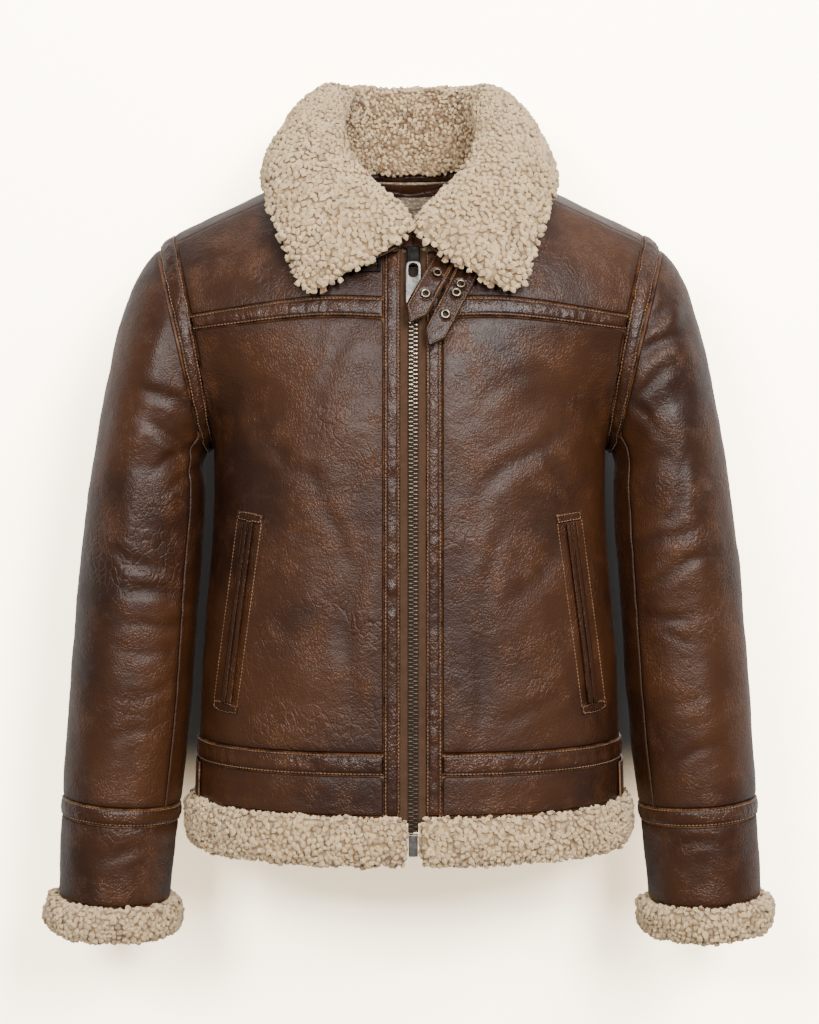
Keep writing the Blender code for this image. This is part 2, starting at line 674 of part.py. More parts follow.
# Collar sections, from the middle of the back (0) to the zip (1): roll line x, y, z; leaving
# direction of the fall x, y, z; lean of the fall over its edge x, y, z; edge x and its degrees
# round the armhole.
COLLAR = (
    (0.00, 0.000, 0.090, 0.110, 0.000, 0.020, 0.002, 0.000, 0.002, 0.040, 0.000, 235),
    (0.14, 0.042, 0.080, 0.110, 0.009, 0.018, 0.002, 0.002, 0.002, 0.040, 0.060, 231),
    (0.28, 0.068, 0.050, 0.107, 0.017, 0.010, 0.001, -0.004, 0.000, 0.040, 0.105, 210),
    (0.42, 0.077, 0.012, 0.098, 0.021, 0.001, -0.001, -0.010, -0.001, 0.040, 0.127, 182),
    (0.56, 0.075, -0.026, 0.064, 0.022, -0.010, -0.004, -0.016, -0.008, 0.034, 0.129, 153),
    (0.70, 0.062, -0.058, 0.023, 0.022, -0.020, -0.006, -0.028, -0.013, 0.026, 0.121, 129),
    (0.85, 0.032, -0.086, -0.013, 0.016, -0.025, -0.010, -0.040, -0.012, 0.022, 0.108, 107),
    (1.00, 0.000, -0.103, -0.041, 0.001, -0.022, -0.014, -0.062, -0.014, 0.026, 0.094, 94),
)


NECK_SIDE_BACK = 0.36  # q where the neckline reaches the shoulder's top from behind
NECK_SIDE_FRONT = 0.58


def neck_point(q):
    """Point of the neckline, from the middle of the back (0) over the shoulder to the zip (1)."""
    if q < NECK_SIDE_BACK:
        f = NECK_SHARE * q / NECK_SIDE_BACK
        return torso_half(f, neck_limit(f, True), True)
    if q < NECK_SIDE_FRONT:
        over = (q - NECK_SIDE_BACK) / (NECK_SIDE_FRONT - NECK_SIDE_BACK)
        turn = 360 - NECK_BACK_SIDE
        return torso_half(NECK_SHARE, turn + (SHOULDER_SEAM - turn) * over, False)
    f = NECK_SHARE * (1 - q) / (1 - NECK_SIDE_FRONT)
    return torso_half(f, neck_limit(f, False), False)


def bezier(a, b, c, d, t):
    return a * (1 - t) ** 3 + b * 3 * t * (1 - t) ** 2 + c * 3 * t * t * (1 - t) + d * t**3


def collar_base(q, s):
    """Fold side of the collar: s is 0 at the neckline, 1 at the roll and 2 at the free edge."""
    row = along(COLLAR, q)
    roll, leave, lean = row[0:3], row[3:6], row[6:9]
    v = row[10]
    edge_share = share_at(row[9], min(v, 360 - v))
    edge = torso_half(edge_share, v, False) + torso_normal(edge_share, v, False) * COLLAR_CLEAR
    foot = neck_point(q) + np.array((0, 0, COLLAR_FOOT))
    if s <= 1:
        away = leave * np.array((1, 1, 0)) * 0.35
        return bezier(foot, foot + (roll - foot) * np.array((0.1, 0.1, 0.5)), roll - away, roll, s)
    return bezier(roll, roll + leave, edge + lean, edge, s - 1)


def collar_normal(q, s):
    q = min(max(q, 0.01), 0.985)
    s = min(max(s, 0.04), 1.96)
    round_neck = collar_base(q + 0.01, s) - collar_base(q - 0.01, s)
    over = collar_base(q, s + 0.04) - collar_base(q, s - 0.04)
    return unit(np.cross(round_neck, over))


def collar(side, q, s, out):
    point = collar_base(q, s) + collar_normal(q, s) * out
    point = settle(point * np.array((side, 1, 1)))
    middle = ZIP_X * smoothstep(-point[1] / 0.09)
    if q > 0.5:
        point[0] = middle + side * max(side * (point[0] - middle), COLLAR_MIDDLE_GAP)
    return point


COLLAR_PLACES = spread(0, NECK_SIDE_BACK, 6) + spread(NECK_SIDE_BACK, NECK_SIDE_FRONT, 4)[1:]
COLLAR_PLACES += spread(NECK_SIDE_FRONT, 1, 8)[1:]
COLLAR_STEPS = [0.0, 0.3, 0.62, 0.85, 1.0, 1.12, 1.26, 1.42, 1.6, 1.8, 2.0]
COLLAR_ROWS = [(-1, q) for q in reversed(COLLAR_PLACES[1:])] + [(1, q) for q in COLLAR_PLACES]


def fleece_height(q, s):
    """Fleece thickness: full in the middle and rounded off towards the free edges."""
    edge = 1 - max(0.0, (s - 1.8) / 0.2) ** 2 * 0.45
    end = 1 - max(0.0, (q - 0.93) / 0.07) ** 2 * 0.35
    return COLLAR_FLEECE * edge * end


def make_collar():
    low = [[collar(side, q, s, 0.0) for s in COLLAR_STEPS] for side, q in COLLAR_ROWS]
    top = [[collar(side, q, s, COLLAR_LEATHER) for s in COLLAR_STEPS] for side, q in COLLAR_ROWS]
    wall("collar_leather", top, low, LEATHER_BROWN)
    base = COLLAR_LEATHER + COLLAR_LAYER_GAP
    low = [[collar(side, q, s, base) for s in COLLAR_STEPS] for side, q in COLLAR_ROWS]
    top = [[collar(side, q, s, base + fleece_height(q, s)) for s in COLLAR_STEPS] for side, q in COLLAR_ROWS]
    wall("collar_fleece", top, low, FLEECE_CREAM)


make_collar()


# ---- neck inside: leather strip in two rolls, half-moon patch, bare label patch --------------

NECK_STRIP_HALF = 0.049
NECK_STRIP_TOP = 0.0045  # below the neckline
NECK_STRIP_LOW = 0.0160
PATCH_GAP = 0.0006  # along Y, so less across the slanted inner face
NECK_STRIP_THICK = 0.0045
MOON_PATCH_THICK = 0.0022
LABEL_THICK = 0.0016


def neckline_z(x):
    f = abs(x) / NECK_HALF_WIDTH * NECK_SHARE
    return torso_half(f, neck_limit(f, True), True)[2]


def inside_back(x, z, out):
    """Point in front of the back's inner face, found along Y from inside the neck."""
    hit = BACK_INSIDE.ray_cast((x, 0.0, z), (0, 1, 0))[0]
    return np.array((x, hit.y - out, z))


BACK_INSIDE = BVHTree.FromObject(bpy.data.objects["back_yoke"], bpy.context.evaluated_depsgraph_get())


def inside_patch(name, half_width, top_drop, low_drop, thickness, colour, steps=7, round_low=False, rows=4):
    """Patch that lies on the back's inner face, between two drops below the neckline."""
    outer, inner = [], []
    for i in range(rows):
        down = i / (rows - 1)
        row_out, row_in = [], []
        for x in spread(-half_width, half_width, steps):
            reach = math.sqrt(1 - (x / half_width) ** 2) * 0.9 + 0.1 if round_low else 1.0
            z = neckline_z(x) - top_drop - (low_drop - top_drop) * down * reach
            row_out.append(inside_back(x, z, PATCH_GAP))
            row_in.append(inside_back(x, z, PATCH_GAP + thickness))
        outer.append(row_out)
        inner.append(row_in)
    return wall(name, outer, inner, colour)


inside_patch("neck_strip", NECK_STRIP_HALF, NECK_STRIP_TOP, NECK_STRIP_LOW, NECK_STRIP_THICK, STRIP_BROWN, 11)
inside_patch("neck_moon_patch", 0.0225, NECK_STRIP_LOW + SEAM, 0.028, MOON_PATCH_THICK,
             FLEECE_CREAM, 9, True)
inside_patch("label_patch", 0.0095, 0.038, 0.051, LABEL_THICK, STRIP_BROWN, 3)


# ---- zip slider, pull tab, bottom box ------------------------------------------------------

SLIDER_TOP_Z = ZIP_TOP_Z + 0.004
SLIDER_LOW_Z = ZIP_TOP_Z - 0.0150
SLIDER_HALF = 0.0058
PULL_PIN_Z = ZIP_TOP_Z - 0.0128
PULL_LENGTH = 0.0390
PULL_HALF = 0.0068
PULL_THICK = 0.0016
PULL_LEAN = -15.0  # degrees: it hangs against the chest's slope
BOX_TOP_Z = ZIP_LOW_Z - SEAM
BOX_LOW_Z = -0.6000
HARDWARE_SIDES = 16


def boolean(obj, cutter, operation):
    modifier = obj.modifiers.new(operation.lower(), "BOOLEAN")
    modifier.operation = operation
    modifier.solver = "EXACT"
    modifier.object = cutter


def plain_box(name, low, high, colour, metallic=0.9, bevel=0.0, collection=JACKET):
    """Box between two corners, with its edges bevelled."""
    bm = bmesh.new()
    bmesh.ops.create_cube(bm, size=1)
    low, high = np.array(low), np.array(high)
    for vert in bm.verts:
        vert.co = low + (np.array(vert.co) + 0.5) * (high - low)
    if bevel:
        bmesh.ops.bevel(bm, geom=bm.edges[:], offset=bevel, segments=2, affect="EDGES", profile=0.5, material=-1)
    return mesh_object(name, bm, colour, 0.35, metallic, collection)


def cylinder(name, centre, direction, radius, length, colour=STEEL, sides=HARDWARE_SIDES, collection=JACKET):
    from_z = np.array((0.0, 0.0, 1.0))
    direction = unit(np.array(direction, float))
    axis = np.cross(from_z, direction)
    side = unit(axis) if np.linalg.norm(axis) > 1e-6 else np.array((1.0, 0.0, 0.0))
    other = np.cross(direction, side)
    bm = bmesh.new()
    bmesh.ops.create_cone(bm, cap_ends=True, segments=sides, radius1=radius, radius2=radius, depth=length)
    for vert in bm.verts:
        x, y, z = vert.co
        vert.co = np.array(centre) + side * x + other * y + direction * z
    return mesh_object(name, bm, colour, 0.35, 0.9, collection)


def hide_cutter(obj):
    obj.hide_render = True
    obj.display_type = "WIRE"
    return obj


SLIDER_BACK_Y = torso_at(0.0, SLIDER_LOW_Z, -0.0008)[1]
SLIDER_FRONT_Y = torso_at(0.0, SLIDER_LOW_Z, 0.0032)[1]
PULL_Y = SLIDER_FRONT_Y - 0.0030  # the pull's middle plane, in front of the slider


def make_slider():
    """Slider body with a bail: two ears and a pin that the pull tab hangs on."""
    body = plain_box("zip_slider", (ZIP_X - SLIDER_HALF, SLIDER_FRONT_Y, SLIDER_LOW_Z + SEAM),
                     (ZIP_X + SLIDER_HALF, SLIDER_BACK_Y, SLIDER_TOP_Z), DARK_BRASS, bevel=0.0009)
    for x in (-0.0030, 0.0030):
        ear = plain_box(f"ear_{x}", (ZIP_X + x - 0.0007, PULL_Y - 0.0010, PULL_PIN_Z - 0.0012),
                        (ZIP_X + x + 0.0007, SLIDER_FRONT_Y + 0.001, PULL_PIN_Z + 0.0007), DARK_BRASS,
                        collection=CUTTERS)
        boolean(body, hide_cutter(ear), "UNION")
    pin = cylinder("bail_pin", (ZIP_X, PULL_Y, PULL_PIN_Z), (1, 0, 0), 0.0009, 0.0070, collection=CUTTERS)
    boolean(body, hide_cutter(pin), "UNION")
    return body


def make_pull():
    """Flat pull tab with a ring at its top that goes round the bail's pin."""
    empty = bpy.data.objects.new("pull_axis", None)
    JACKET.objects.link(empty)
    empty.location = (ZIP_X, PULL_Y, PULL_PIN_Z)
    empty.rotation_euler = (math.radians(PULL_LEAN), 0, 0)
    tab = plain_box("zip_pull", (-PULL_HALF, -PULL_THICK / 2, -PULL_LENGTH), (PULL_HALF, PULL_THICK / 2, 0.0032),
                    STEEL, bevel=0.0006)
    tab.parent = empty
    hole = plain_box("pull_hole", (-0.0045, -0.01, -0.0125), (0.0045, 0.01, 0.0), STEEL, collection=CUTTERS)
    hole.parent = empty
    slot = plain_box("pull_slot", (-0.0052, -0.01, -0.0020), (0.0052, 0.01, 0.0014), STEEL, collection=CUTTERS)
    slot.parent = empty
    for cutter in (hole, slot):
        boolean(tab, hide_cutter(cutter), "DIFFERENCE")
    return tab


make_slider()
make_pull()
box_y = torso_at(0.0, BOX_LOW_Z, 0.0016)[1]
plain_box("zip_box", (ZIP_X - CHAIN_HALF, box_y, BOX_LOW_Z), (ZIP_X + CHAIN_HALF, box_y + 0.0050, BOX_TOP_Z),
          STEEL, bevel=0.0007)


# ---- what lies on the panels: pocket welts, side tabs, throat straps ----------------------------

WELT_TOP = (0.1465, -0.3040)
WELT_LOW = (0.1675, -0.4700)
WELT_WIDTH = 0.0048
WELT_THICK = 0.0018
ON_PANEL = 0.0006


def lath(name, outline_rows, base, thickness, colour, roughness=0.6):
    """Wall over the front: each row holds the x, z of its points and lies base above the panels."""
    outer = [[torso_at(x, z, base + thickness) for x, z in row] for row in outline_rows]
    inner = [[torso_at(x, z, base) for x, z in row] for row in outline_rows]
    return wall(name, outer, inner, colour, roughness=roughness)


for side, hand in ((-1, "right"), (1, "left")):
    for near, far, which in ((-WELT_WIDTH, -SEAM, "front"), (SEAM, WELT_WIDTH, "rear")):
        rows = []
        for s in spread(0, 1, 9):
            x = WELT_TOP[0] + (WELT_LOW[0] - WELT_TOP[0]) * s
            z = WELT_TOP[1] + (WELT_LOW[1] - WELT_TOP[1]) * s
            rows.append([(side * (x + shift), z) for shift in (near, (near + far) / 2, far)])
        lath(f"pocket_welt_{which}_{hand}", rows, ON_PANEL, WELT_THICK, STRIP_BROWN)

TAB_TOP_Z = WAIST_LOW_Z - 0.0022
TAB_LOW_Z = HEM_TOP_Z + 0.0012
TAB_SHARE = 0.83
TAB_THICK = 0.0020


def make_side_tab(side, hand):
    """Adjuster tab that lies round the side seam, over the front and back hem panels."""
    places = [(f, False) for f in spread(TAB_SHARE, 1, 8)] + [(f, True) for f in spread(1, TAB_SHARE, 8)[1:]]
    outer, inner = [], []
    for z in (TAB_LOW_Z, TAB_TOP_Z):
        v = z - ARMPIT_Z
        outer.append([torso(side, f, v, back, ON_PANEL + TAB_THICK) for f, back in places])
        inner.append([torso(side, f, v, back, ON_PANEL) for f, back in places])
    return wall(f"side_tab_{hand}", outer, inner, STRIP_BROWN)


for side, hand in ((-1, "right"), (1, "left")):
    make_side_tab(side, hand)


# Throat straps, as the wearer sees them on the left chest: each runs down and across from under the
# collar, ends in a point and stands off the panels. Heights are of the tip; the lengths are real.
STRAP_WIDTH = 0.0215
STRAP_THICK = 0.0026
STRAP_POINT = 0.0125
STRAP_LEVEL = 0.3  # share of the length from the tip that keeps the tip's stand-off
EYELET_OUT = 0.0046
EYELET_HOLE = 0.0022
EYELET_RIM = 0.0006
EYELET_SIDES = 14
RIM_GAP = 0.0011  # under the rim, where the strap bends
# Name, tip x from the middle and z, root x and z, stand-off at the tip and at the root, and how far
# each eyelet is from the tip.
STRAPS = (
    ("throat_strap_upper", -0.0028, -0.1235, 0.0387, -0.0490, 0.0124, 0.0005, (0.0280, 0.0495)),
    ("throat_strap_lower", 0.0147, -0.1440, 0.0578, -0.0610, 0.0088, 0.0005, (0.0302, 0.0518, 0.0608)),
)


def strap_frame(row, distance, across):
    """x, z and stand-off of a strap's point, at a distance from its tip and across its width."""
    _, tip_x, tip_z, root_x, root_z, tip_out, root_out, _ = row
    run = np.array((root_x - tip_x, root_z - tip_z))
    length = float(np.linalg.norm(run))
    run = run / length
    normal = np.array((run[1], -run[0]))
    x, z = np.array((tip_x, tip_z)) + run * distance + normal * across
    down = smoothstep((distance / length - STRAP_LEVEL) / (1 - STRAP_LEVEL))
    return x, z, tip_out + (root_out - tip_out) * down


def strap_point(row, distance, across, up):
    """The strap is straight across its width and leans as the chest does there."""
    x, z, out = strap_frame(row, distance, across)
    middle_x, middle_z, _ = strap_frame(row, distance, 0.0)
    middle = torso_at(middle_x, middle_z, out)
    low, high = (torso_at(*strap_frame(row, distance, a)[:2])[1] for a in (-STRAP_WIDTH / 2, STRAP_WIDTH / 2))
    y = middle[1] + (high - low) / STRAP_WIDTH * across
    return np.array((x + middle[0] - middle_x, y - up, z))


def make_strap(row):
    name = row[0]
    length = math.hypot(row[3] - row[1], row[4] - row[2])
    distances = [0.0, STRAP_POINT] + spread(STRAP_POINT, length, 10)[1:]
    outer, inner = [], []
    for distance in distances:
        half = STRAP_WIDTH / 2 * min(0.12 + 0.88 * distance / STRAP_POINT, 1.0)
        steps = spread(-half, half, 3)
        outer.append([strap_point(row, distance, a, STRAP_THICK) for a in steps])
        inner.append([strap_point(row, distance, a, 0.0) for a in steps])
    strap = wall(name, outer, inner, STRIP_BROWN)
    for number, distance in enumerate(row[7], 1):
        make_eyelet(row, strap, distance, f"{name}_eyelet_{number}")
    return strap


def make_eyelet(row, strap, distance, name):
    """Turned eyelet: a barrel through the strap with a rolled rim in front."""
    low = strap_point(row, distance, 0.0, 0.0)
    ahead = strap_point(row, distance + 0.004, 0.0, 0.0) - strap_point(row, distance - 0.004, 0.0, 0.0)
    across = strap_point(row, distance, 0.004, 0.0) - strap_point(row, distance, -0.004, 0.0)
    normal = unit(np.cross(ahead, across))
    normal = normal if normal[1] < 0 else -normal
    barrel = EYELET_HOLE + EYELET_RIM
    hole = cylinder(f"hole_{name}", low + normal * STRAP_THICK / 2, normal, barrel + SEAM, 0.02, collection=CUTTERS)
    boolean(strap, hide_cutter(hole), "DIFFERENCE")
    rim = STRAP_THICK + RIM_GAP
    profile = [(EYELET_HOLE, 0.0002), (barrel, 0.0002), (barrel, rim), (EYELET_OUT, rim),
               (EYELET_OUT - 0.0006, rim + 0.0009), (EYELET_HOLE, rim + 0.0009)]
    side = unit(across)
    other = unit(np.cross(normal, side))
    loops = []
    for i in range(EYELET_SIDES):
        turn = 2 * math.pi * i / EYELET_SIDES
        radial = side * math.cos(turn) + other * math.sin(turn)
        loops.append([low + radial * radius + normal * height for radius, height in profile])
    return loft(name, loops, DARK_BRASS, ring=True, roughness=0.4, metallic=0.9)


for strap_row in STRAPS:
    make_strap(strap_row)


# ---- the latch under the other collar leaf ---------------------------------------------------

LATCH_X = -0.0405
LATCH_TAB_TOP = -0.040
LATCH_TAB_LOW = -0.071
LATCH_HALF = 0.0085
BUCKLE_HALF = 0.0120
BUCKLE_BAR = 0.0022
BUCKLE_HEIGHT = 0.0190
BUCKLE_HANG = 0.0060  # its lower edge under the tab's
LATCH_TAB_THICK = 0.0012


def make_latch():
    """Short leather tab with a plain square buckle frame hung in its end."""
    rows = [[(LATCH_X + a, z) for a in (-LATCH_HALF, 0.0, LATCH_HALF)] for z in spread(LATCH_TAB_LOW, LATCH_TAB_TOP, 4)]
    lath("latch_tab", rows, ON_PANEL, LATCH_TAB_THICK, STRIP_BROWN)
    y = torso_at(LATCH_X, LATCH_TAB_LOW, ON_PANEL + LATCH_TAB_THICK + SEAM)[1]
    low_z = LATCH_TAB_LOW - BUCKLE_HANG
    top_z = low_z + BUCKLE_HEIGHT
    x = LATCH_X + ZIP_X * 0.8
    frame = plain_box("latch_buckle", (x - BUCKLE_HALF, y - BUCKLE_BAR, low_z), (x + BUCKLE_HALF, y, top_z), STEEL,
                      bevel=0.0006)
    window = plain_box("buckle_window", (x - BUCKLE_HALF + BUCKLE_BAR, y - 0.01, low_z + BUCKLE_BAR),
                       (x + BUCKLE_HALF - BUCKLE_BAR, y + 0.01, top_z - BUCKLE_BAR), STEEL,
                       collection=CUTTERS)
    boolean(frame, hide_cutter(window), "DIFFERENCE")


make_latch()
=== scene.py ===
"""Shearling leather jacket: a brown pull-up leather shell over wool, with a curly fleece collar,
hem and cuffs, a metal zip and two throat straps. Metres, +Z up, the front faces -Y."""

import json
import math

import bmesh
import bpy
import numpy as np
from mathutils import Matrix, Vector, kdtree, noise
from mathutils.bvhtree import BVHTree


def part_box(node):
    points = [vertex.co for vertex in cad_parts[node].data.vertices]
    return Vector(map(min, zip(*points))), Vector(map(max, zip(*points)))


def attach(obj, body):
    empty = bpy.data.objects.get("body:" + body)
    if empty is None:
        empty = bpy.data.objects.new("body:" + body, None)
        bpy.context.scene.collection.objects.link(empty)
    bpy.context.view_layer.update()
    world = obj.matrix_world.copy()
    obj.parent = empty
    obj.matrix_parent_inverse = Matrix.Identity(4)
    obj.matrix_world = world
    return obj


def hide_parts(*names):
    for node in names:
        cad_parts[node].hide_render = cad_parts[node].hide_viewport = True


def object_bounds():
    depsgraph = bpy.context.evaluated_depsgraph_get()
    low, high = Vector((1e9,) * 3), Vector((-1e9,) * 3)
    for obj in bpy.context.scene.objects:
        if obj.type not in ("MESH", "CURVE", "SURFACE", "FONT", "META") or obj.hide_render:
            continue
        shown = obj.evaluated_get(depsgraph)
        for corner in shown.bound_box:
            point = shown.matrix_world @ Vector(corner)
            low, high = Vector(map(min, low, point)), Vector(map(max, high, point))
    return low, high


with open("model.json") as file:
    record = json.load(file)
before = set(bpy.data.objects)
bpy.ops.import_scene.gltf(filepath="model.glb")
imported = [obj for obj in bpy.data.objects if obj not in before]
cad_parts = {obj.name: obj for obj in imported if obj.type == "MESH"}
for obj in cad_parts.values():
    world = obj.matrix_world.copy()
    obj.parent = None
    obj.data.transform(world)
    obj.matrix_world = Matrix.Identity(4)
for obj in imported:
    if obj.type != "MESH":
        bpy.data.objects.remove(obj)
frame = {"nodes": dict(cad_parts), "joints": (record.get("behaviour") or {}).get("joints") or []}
NODES = frame["nodes"]
cad_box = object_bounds()

# ---- camera, light and wall -----------------------------------------------------------------
# The jacket was photographed straight from the front, from about two metres away and level with
# its chest. It hangs close before a white wall. A large soft light stands high on the right, a small
# one on each side of the camera, one hangs above and one lights the back. The wall is clear from
# behind, so that the back can be looked at too.

CAMERA_DISTANCE = 1.95
CAMERA_Z = -0.220
FRAME_WIDTH = 0.786  # metres across the picture at the jacket's middle
FRAME_SHIFT_Y = -0.1001
SENSOR_MM = 36.0
WALL_GAP = 0.012  # behind the jacket's back
WALL_HALF = 4.0
AIR_STRENGTH = 0.27
WHITE_SEEN = 8.0  # how bright the camera finds the wall and the air round it
PAINTED_SHADOW_X = (0.170, 0.262)  # where a shadow is painted on the wall, behind each sleeve that hangs close before it
PAINTED_SHADOW_SOFT = (0.02, 0.03)  # how far the painted shadow's two sides spread
PAINTED_SHADOW_TOP = (-0.10, -0.20)  # heights between which the painted shadow begins, and ends
PAINTED_SHADOW_LOW = (-0.66, -0.54)
WALL_PAINT = (0.90, 0.89, 0.87)
WALL_SEEN = (WHITE_SEEN, WHITE_SEEN * 0.88, WHITE_SEEN * 0.66)
# colour of the shadow painted on the wall
PAINTED_SHADOW_COLOUR = (0.20, 0.22, 0.235)
AIR_COLOUR = (1.0, 0.96, 0.89, 1)


class Flow:
    """A shader value. Sums and products of it add Math nodes to its material."""

    def __init__(self, tree, socket):
        self.tree, self.socket = tree, socket

    def join(self, operation, first, second, clamp=False):
        maths = self.tree.nodes.new("ShaderNodeMath")
        maths.operation = operation
        maths.use_clamp = clamp
        for slot, value in zip(maths.inputs, (first, second)):
            if isinstance(value, Flow):
                self.tree.links.new(value.socket, slot)
            elif value is not None:
                slot.default_value = value
        return Flow(self.tree, maths.outputs[0])

    def __add__(self, other):
        return self.join("ADD", self, other)

    __radd__ = __add__

    def __sub__(self, other):
        return self.join("SUBTRACT", self, other)

    def __rsub__(self, other):
        return self.join("SUBTRACT", other, self)

    def __mul__(self, other):
        return self.join("MULTIPLY", self, other)

    __rmul__ = __mul__

    def clip(self):
        return self.join("ADD", self, 0.0, clamp=True)


class Finish:
    """A material while it is put together: nodes are added and tied to the shader's sockets."""

    def __init__(self, name, **constants):
        self.material = bpy.data.materials.new(name)
        self.material.use_nodes = True
        self.tree = self.material.node_tree
        self.shader = self.tree.nodes["Principled BSDF"]
        for socket, value in constants.items():
            self.shader.inputs[socket.replace("_", " ")].default_value = value

    def node(self, kind, settings=None, out=0, **sockets):
        """A node of this kind. Its settings are set first, then its sockets by name or number."""
        made = self.tree.nodes.new("ShaderNode" + kind)
        for key, value in (settings or {}).items():
            setattr(made, key, value)
        for key, value in sockets.items():
            numbered = key[0] == "i" and key[1:].isdigit()
            slot = made.inputs[int(key[1:]) if numbered else key.replace("_", " ")]
            if isinstance(value, Flow):
                self.tree.links.new(value.socket, slot)
            else:
                slot.default_value = value
        return Flow(self.tree, made.outputs[out])

    def place(self, scale=(1, 1, 1), turn=(0, 0, 0)):
        """The point on the piece, in metres, stretched and turned for a pattern."""
        point = self.node("TexCoord", out="Object")
        return self.node("Mapping", Vector=point, Rotation=turn, Scale=scale)

    def grain(self, scale, detail=2.0, roughness=0.5, where=None, distortion=0.0):
        return self.node("TexNoise", Vector=where or self.place(), Scale=scale, Detail=detail,
                         Roughness=roughness, Distortion=distortion)

    def cells(self, scale, feature, where=None, smooth=None):
        extra = {"Smoothness": smooth} if feature == "SMOOTH_F1" else {}
        return self.node("TexVoronoi", {"feature": feature}, Vector=where or self.place(), Scale=scale,
                         **extra)

    def attribute(self, name):
        return self.node("Attribute", {"attribute_name": name}, out="Fac")

    def steps(self, value, low, high, start=0.0, end=1.0):
        """The value between two limits, spread smoothly from start to end."""
        return self.node("MapRange", {"interpolation_type": "SMOOTHSTEP"}, Value=value,
                         From_Min=low, From_Max=high, To_Min=start, To_Max=end)

    def blend(self, share, first, second):
        """Two colours by a share: each is a colour of three numbers or a flow."""
        made = self.tree.nodes.new("ShaderNodeMix")
        made.data_type = "RGBA"
        for number, value in ((0, share), (6, first), (7, second)):
            if isinstance(value, Flow):
                self.tree.links.new(value.socket, made.inputs[number])
            else:
                made.inputs[number].default_value = (*value, 1.0)
        return Flow(self.tree, made.outputs[2])

    def relief(self, height, depth, strength=1.0, under=None):
        """A bump of this depth in metres, over another bump where one is given."""
        extra = {"Normal": under} if under else {}
        return self.node("Bump", Height=height, Distance=depth, Strength=strength, **extra)

    def set(self, **links):
        for socket, value in links.items():
            self.tree.links.new(value.socket, self.shader.inputs[socket.replace("_", " ")])
        return self.material


def place_camera():
    data = bpy.data.cameras.new("front_camera")
    camera = bpy.data.objects.new("front_camera", data)
    bpy.context.collection.objects.link(camera)
    camera.location = (0.0, -CAMERA_DISTANCE, CAMERA_Z)
    camera.rotation_euler = (math.radians(90), 0.0, 0.0)
    data.sensor_fit = "HORIZONTAL"
    data.sensor_width = SENSOR_MM
    data.lens = SENSOR_MM * CAMERA_DISTANCE / FRAME_WIDTH
    data.shift_y = FRAME_SHIFT_Y
    bpy.context.scene.camera = camera


def soft_light(name, place, size, watts, aim=(0, 0, -0.2)):
    data = bpy.data.lights.new(name, "AREA")
    data.shape = "RECTANGLE"
    data.size, data.size_y = size
    data.energy = watts
    lamp = bpy.data.objects.new(name, data)
    bpy.context.collection.objects.link(lamp)
    lamp.location = place
    lamp.rotation_euler = (Vector(aim) - Vector(place)).to_track_quat("-Z", "Y").to_euler()


def make_wall():
    """White wall close behind, with a soft shadow painted on it behind each sleeve's inner side. Seen from its
    back it is clear, and it lets the rear light by.
    """
    bm = bmesh.new()
    bmesh.ops.create_grid(bm, x_segments=1, y_segments=1, size=WALL_HALF)
    bmesh.ops.rotate(bm, verts=bm.verts, matrix=Matrix.Rotation(math.radians(90), 3, "X"))
    bmesh.ops.translate(bm, verts=bm.verts, vec=(0, cad_box[1][1] + WALL_GAP, 0))
    mesh = bpy.data.meshes.new("studio_wall")
    bm.to_mesh(mesh)
    bm.free()
    wall = bpy.data.objects.new("studio_wall", mesh)
    bpy.context.collection.objects.link(wall)
    paper = Finish("studio_paper")
    paper.tree.nodes.remove(paper.shader)
    place = paper.node("TexCoord", out="Object")
    height = paper.node("SeparateXYZ", out="Z", i0=place)
    aside = paper.node("SeparateXYZ", out="X", i0=place)
    aside = aside.join("ABSOLUTE", aside, None)
    # Painted shadow: the wall's colour goes dark in a soft band behind each sleeve's inner side.
    across = (paper.steps(aside, PAINTED_SHADOW_X[0], PAINTED_SHADOW_X[0] + PAINTED_SHADOW_SOFT[0])
              * paper.steps(aside, PAINTED_SHADOW_X[1], PAINTED_SHADOW_X[1] - PAINTED_SHADOW_SOFT[1]))
    shade = across * paper.steps(height, *PAINTED_SHADOW_TOP) * paper.steps(height, *PAINTED_SHADOW_LOW)
    white = paper.blend(paper.node("LightPath", out="Is Camera Ray"), WALL_PAINT, WALL_SEEN)
    painted = paper.node("BsdfDiffuse", Color=paper.blend(shade, white, PAINTED_SHADOW_COLOUR))
    behind = paper.node("NewGeometry", out="Backfacing")
    clear = behind.join("MAXIMUM", behind, paper.node("LightPath", out="Is Shadow Ray"))
    mixed = paper.node("MixShader", i0=clear, i1=painted, i2=paper.node("BsdfTransparent"))
    paper.tree.links.new(mixed.socket, paper.tree.nodes["Material Output"].inputs["Surface"])
    mesh.materials.append(paper.material)


def fill_air():
    """Even light from all round, and a brighter white where the camera looks past the wall."""
    world = bpy.context.scene.world or bpy.data.worlds.new("studio_air")
    bpy.context.scene.world = world
    world.use_nodes = True
    nodes, links = world.node_tree.nodes, world.node_tree.links
    seen = nodes.new("ShaderNodeMapRange")
    seen.inputs["To Min"].default_value = AIR_STRENGTH
    seen.inputs["To Max"].default_value = WHITE_SEEN
    links.new(nodes.new("ShaderNodeLightPath").outputs["Is Camera Ray"], seen.inputs["Value"])
    links.new(seen.outputs[0], nodes["Background"].inputs["Strength"])
    nodes["Background"].inputs["Color"].default_value = AIR_COLOUR


place_camera()
make_wall()
fill_air()
soft_light("key_softbox", (1.05, -2.1, 1.2), (1.2, 1.2), 44, aim=(0, 0, -0.25))
soft_light("left_strip", (-0.70, -2.3, 0.40), (0.55, 0.55), 28)
soft_light("right_strip", (0.68, -2.3, 0.36), (0.55, 0.55), 26)
soft_light("top_softbox", (0.0, -0.5, 2.2), (2.0, 1.0), 14)
soft_light("rear_softbox", (0.5, 2.5, 1.0), (1.6, 1.6), 60)
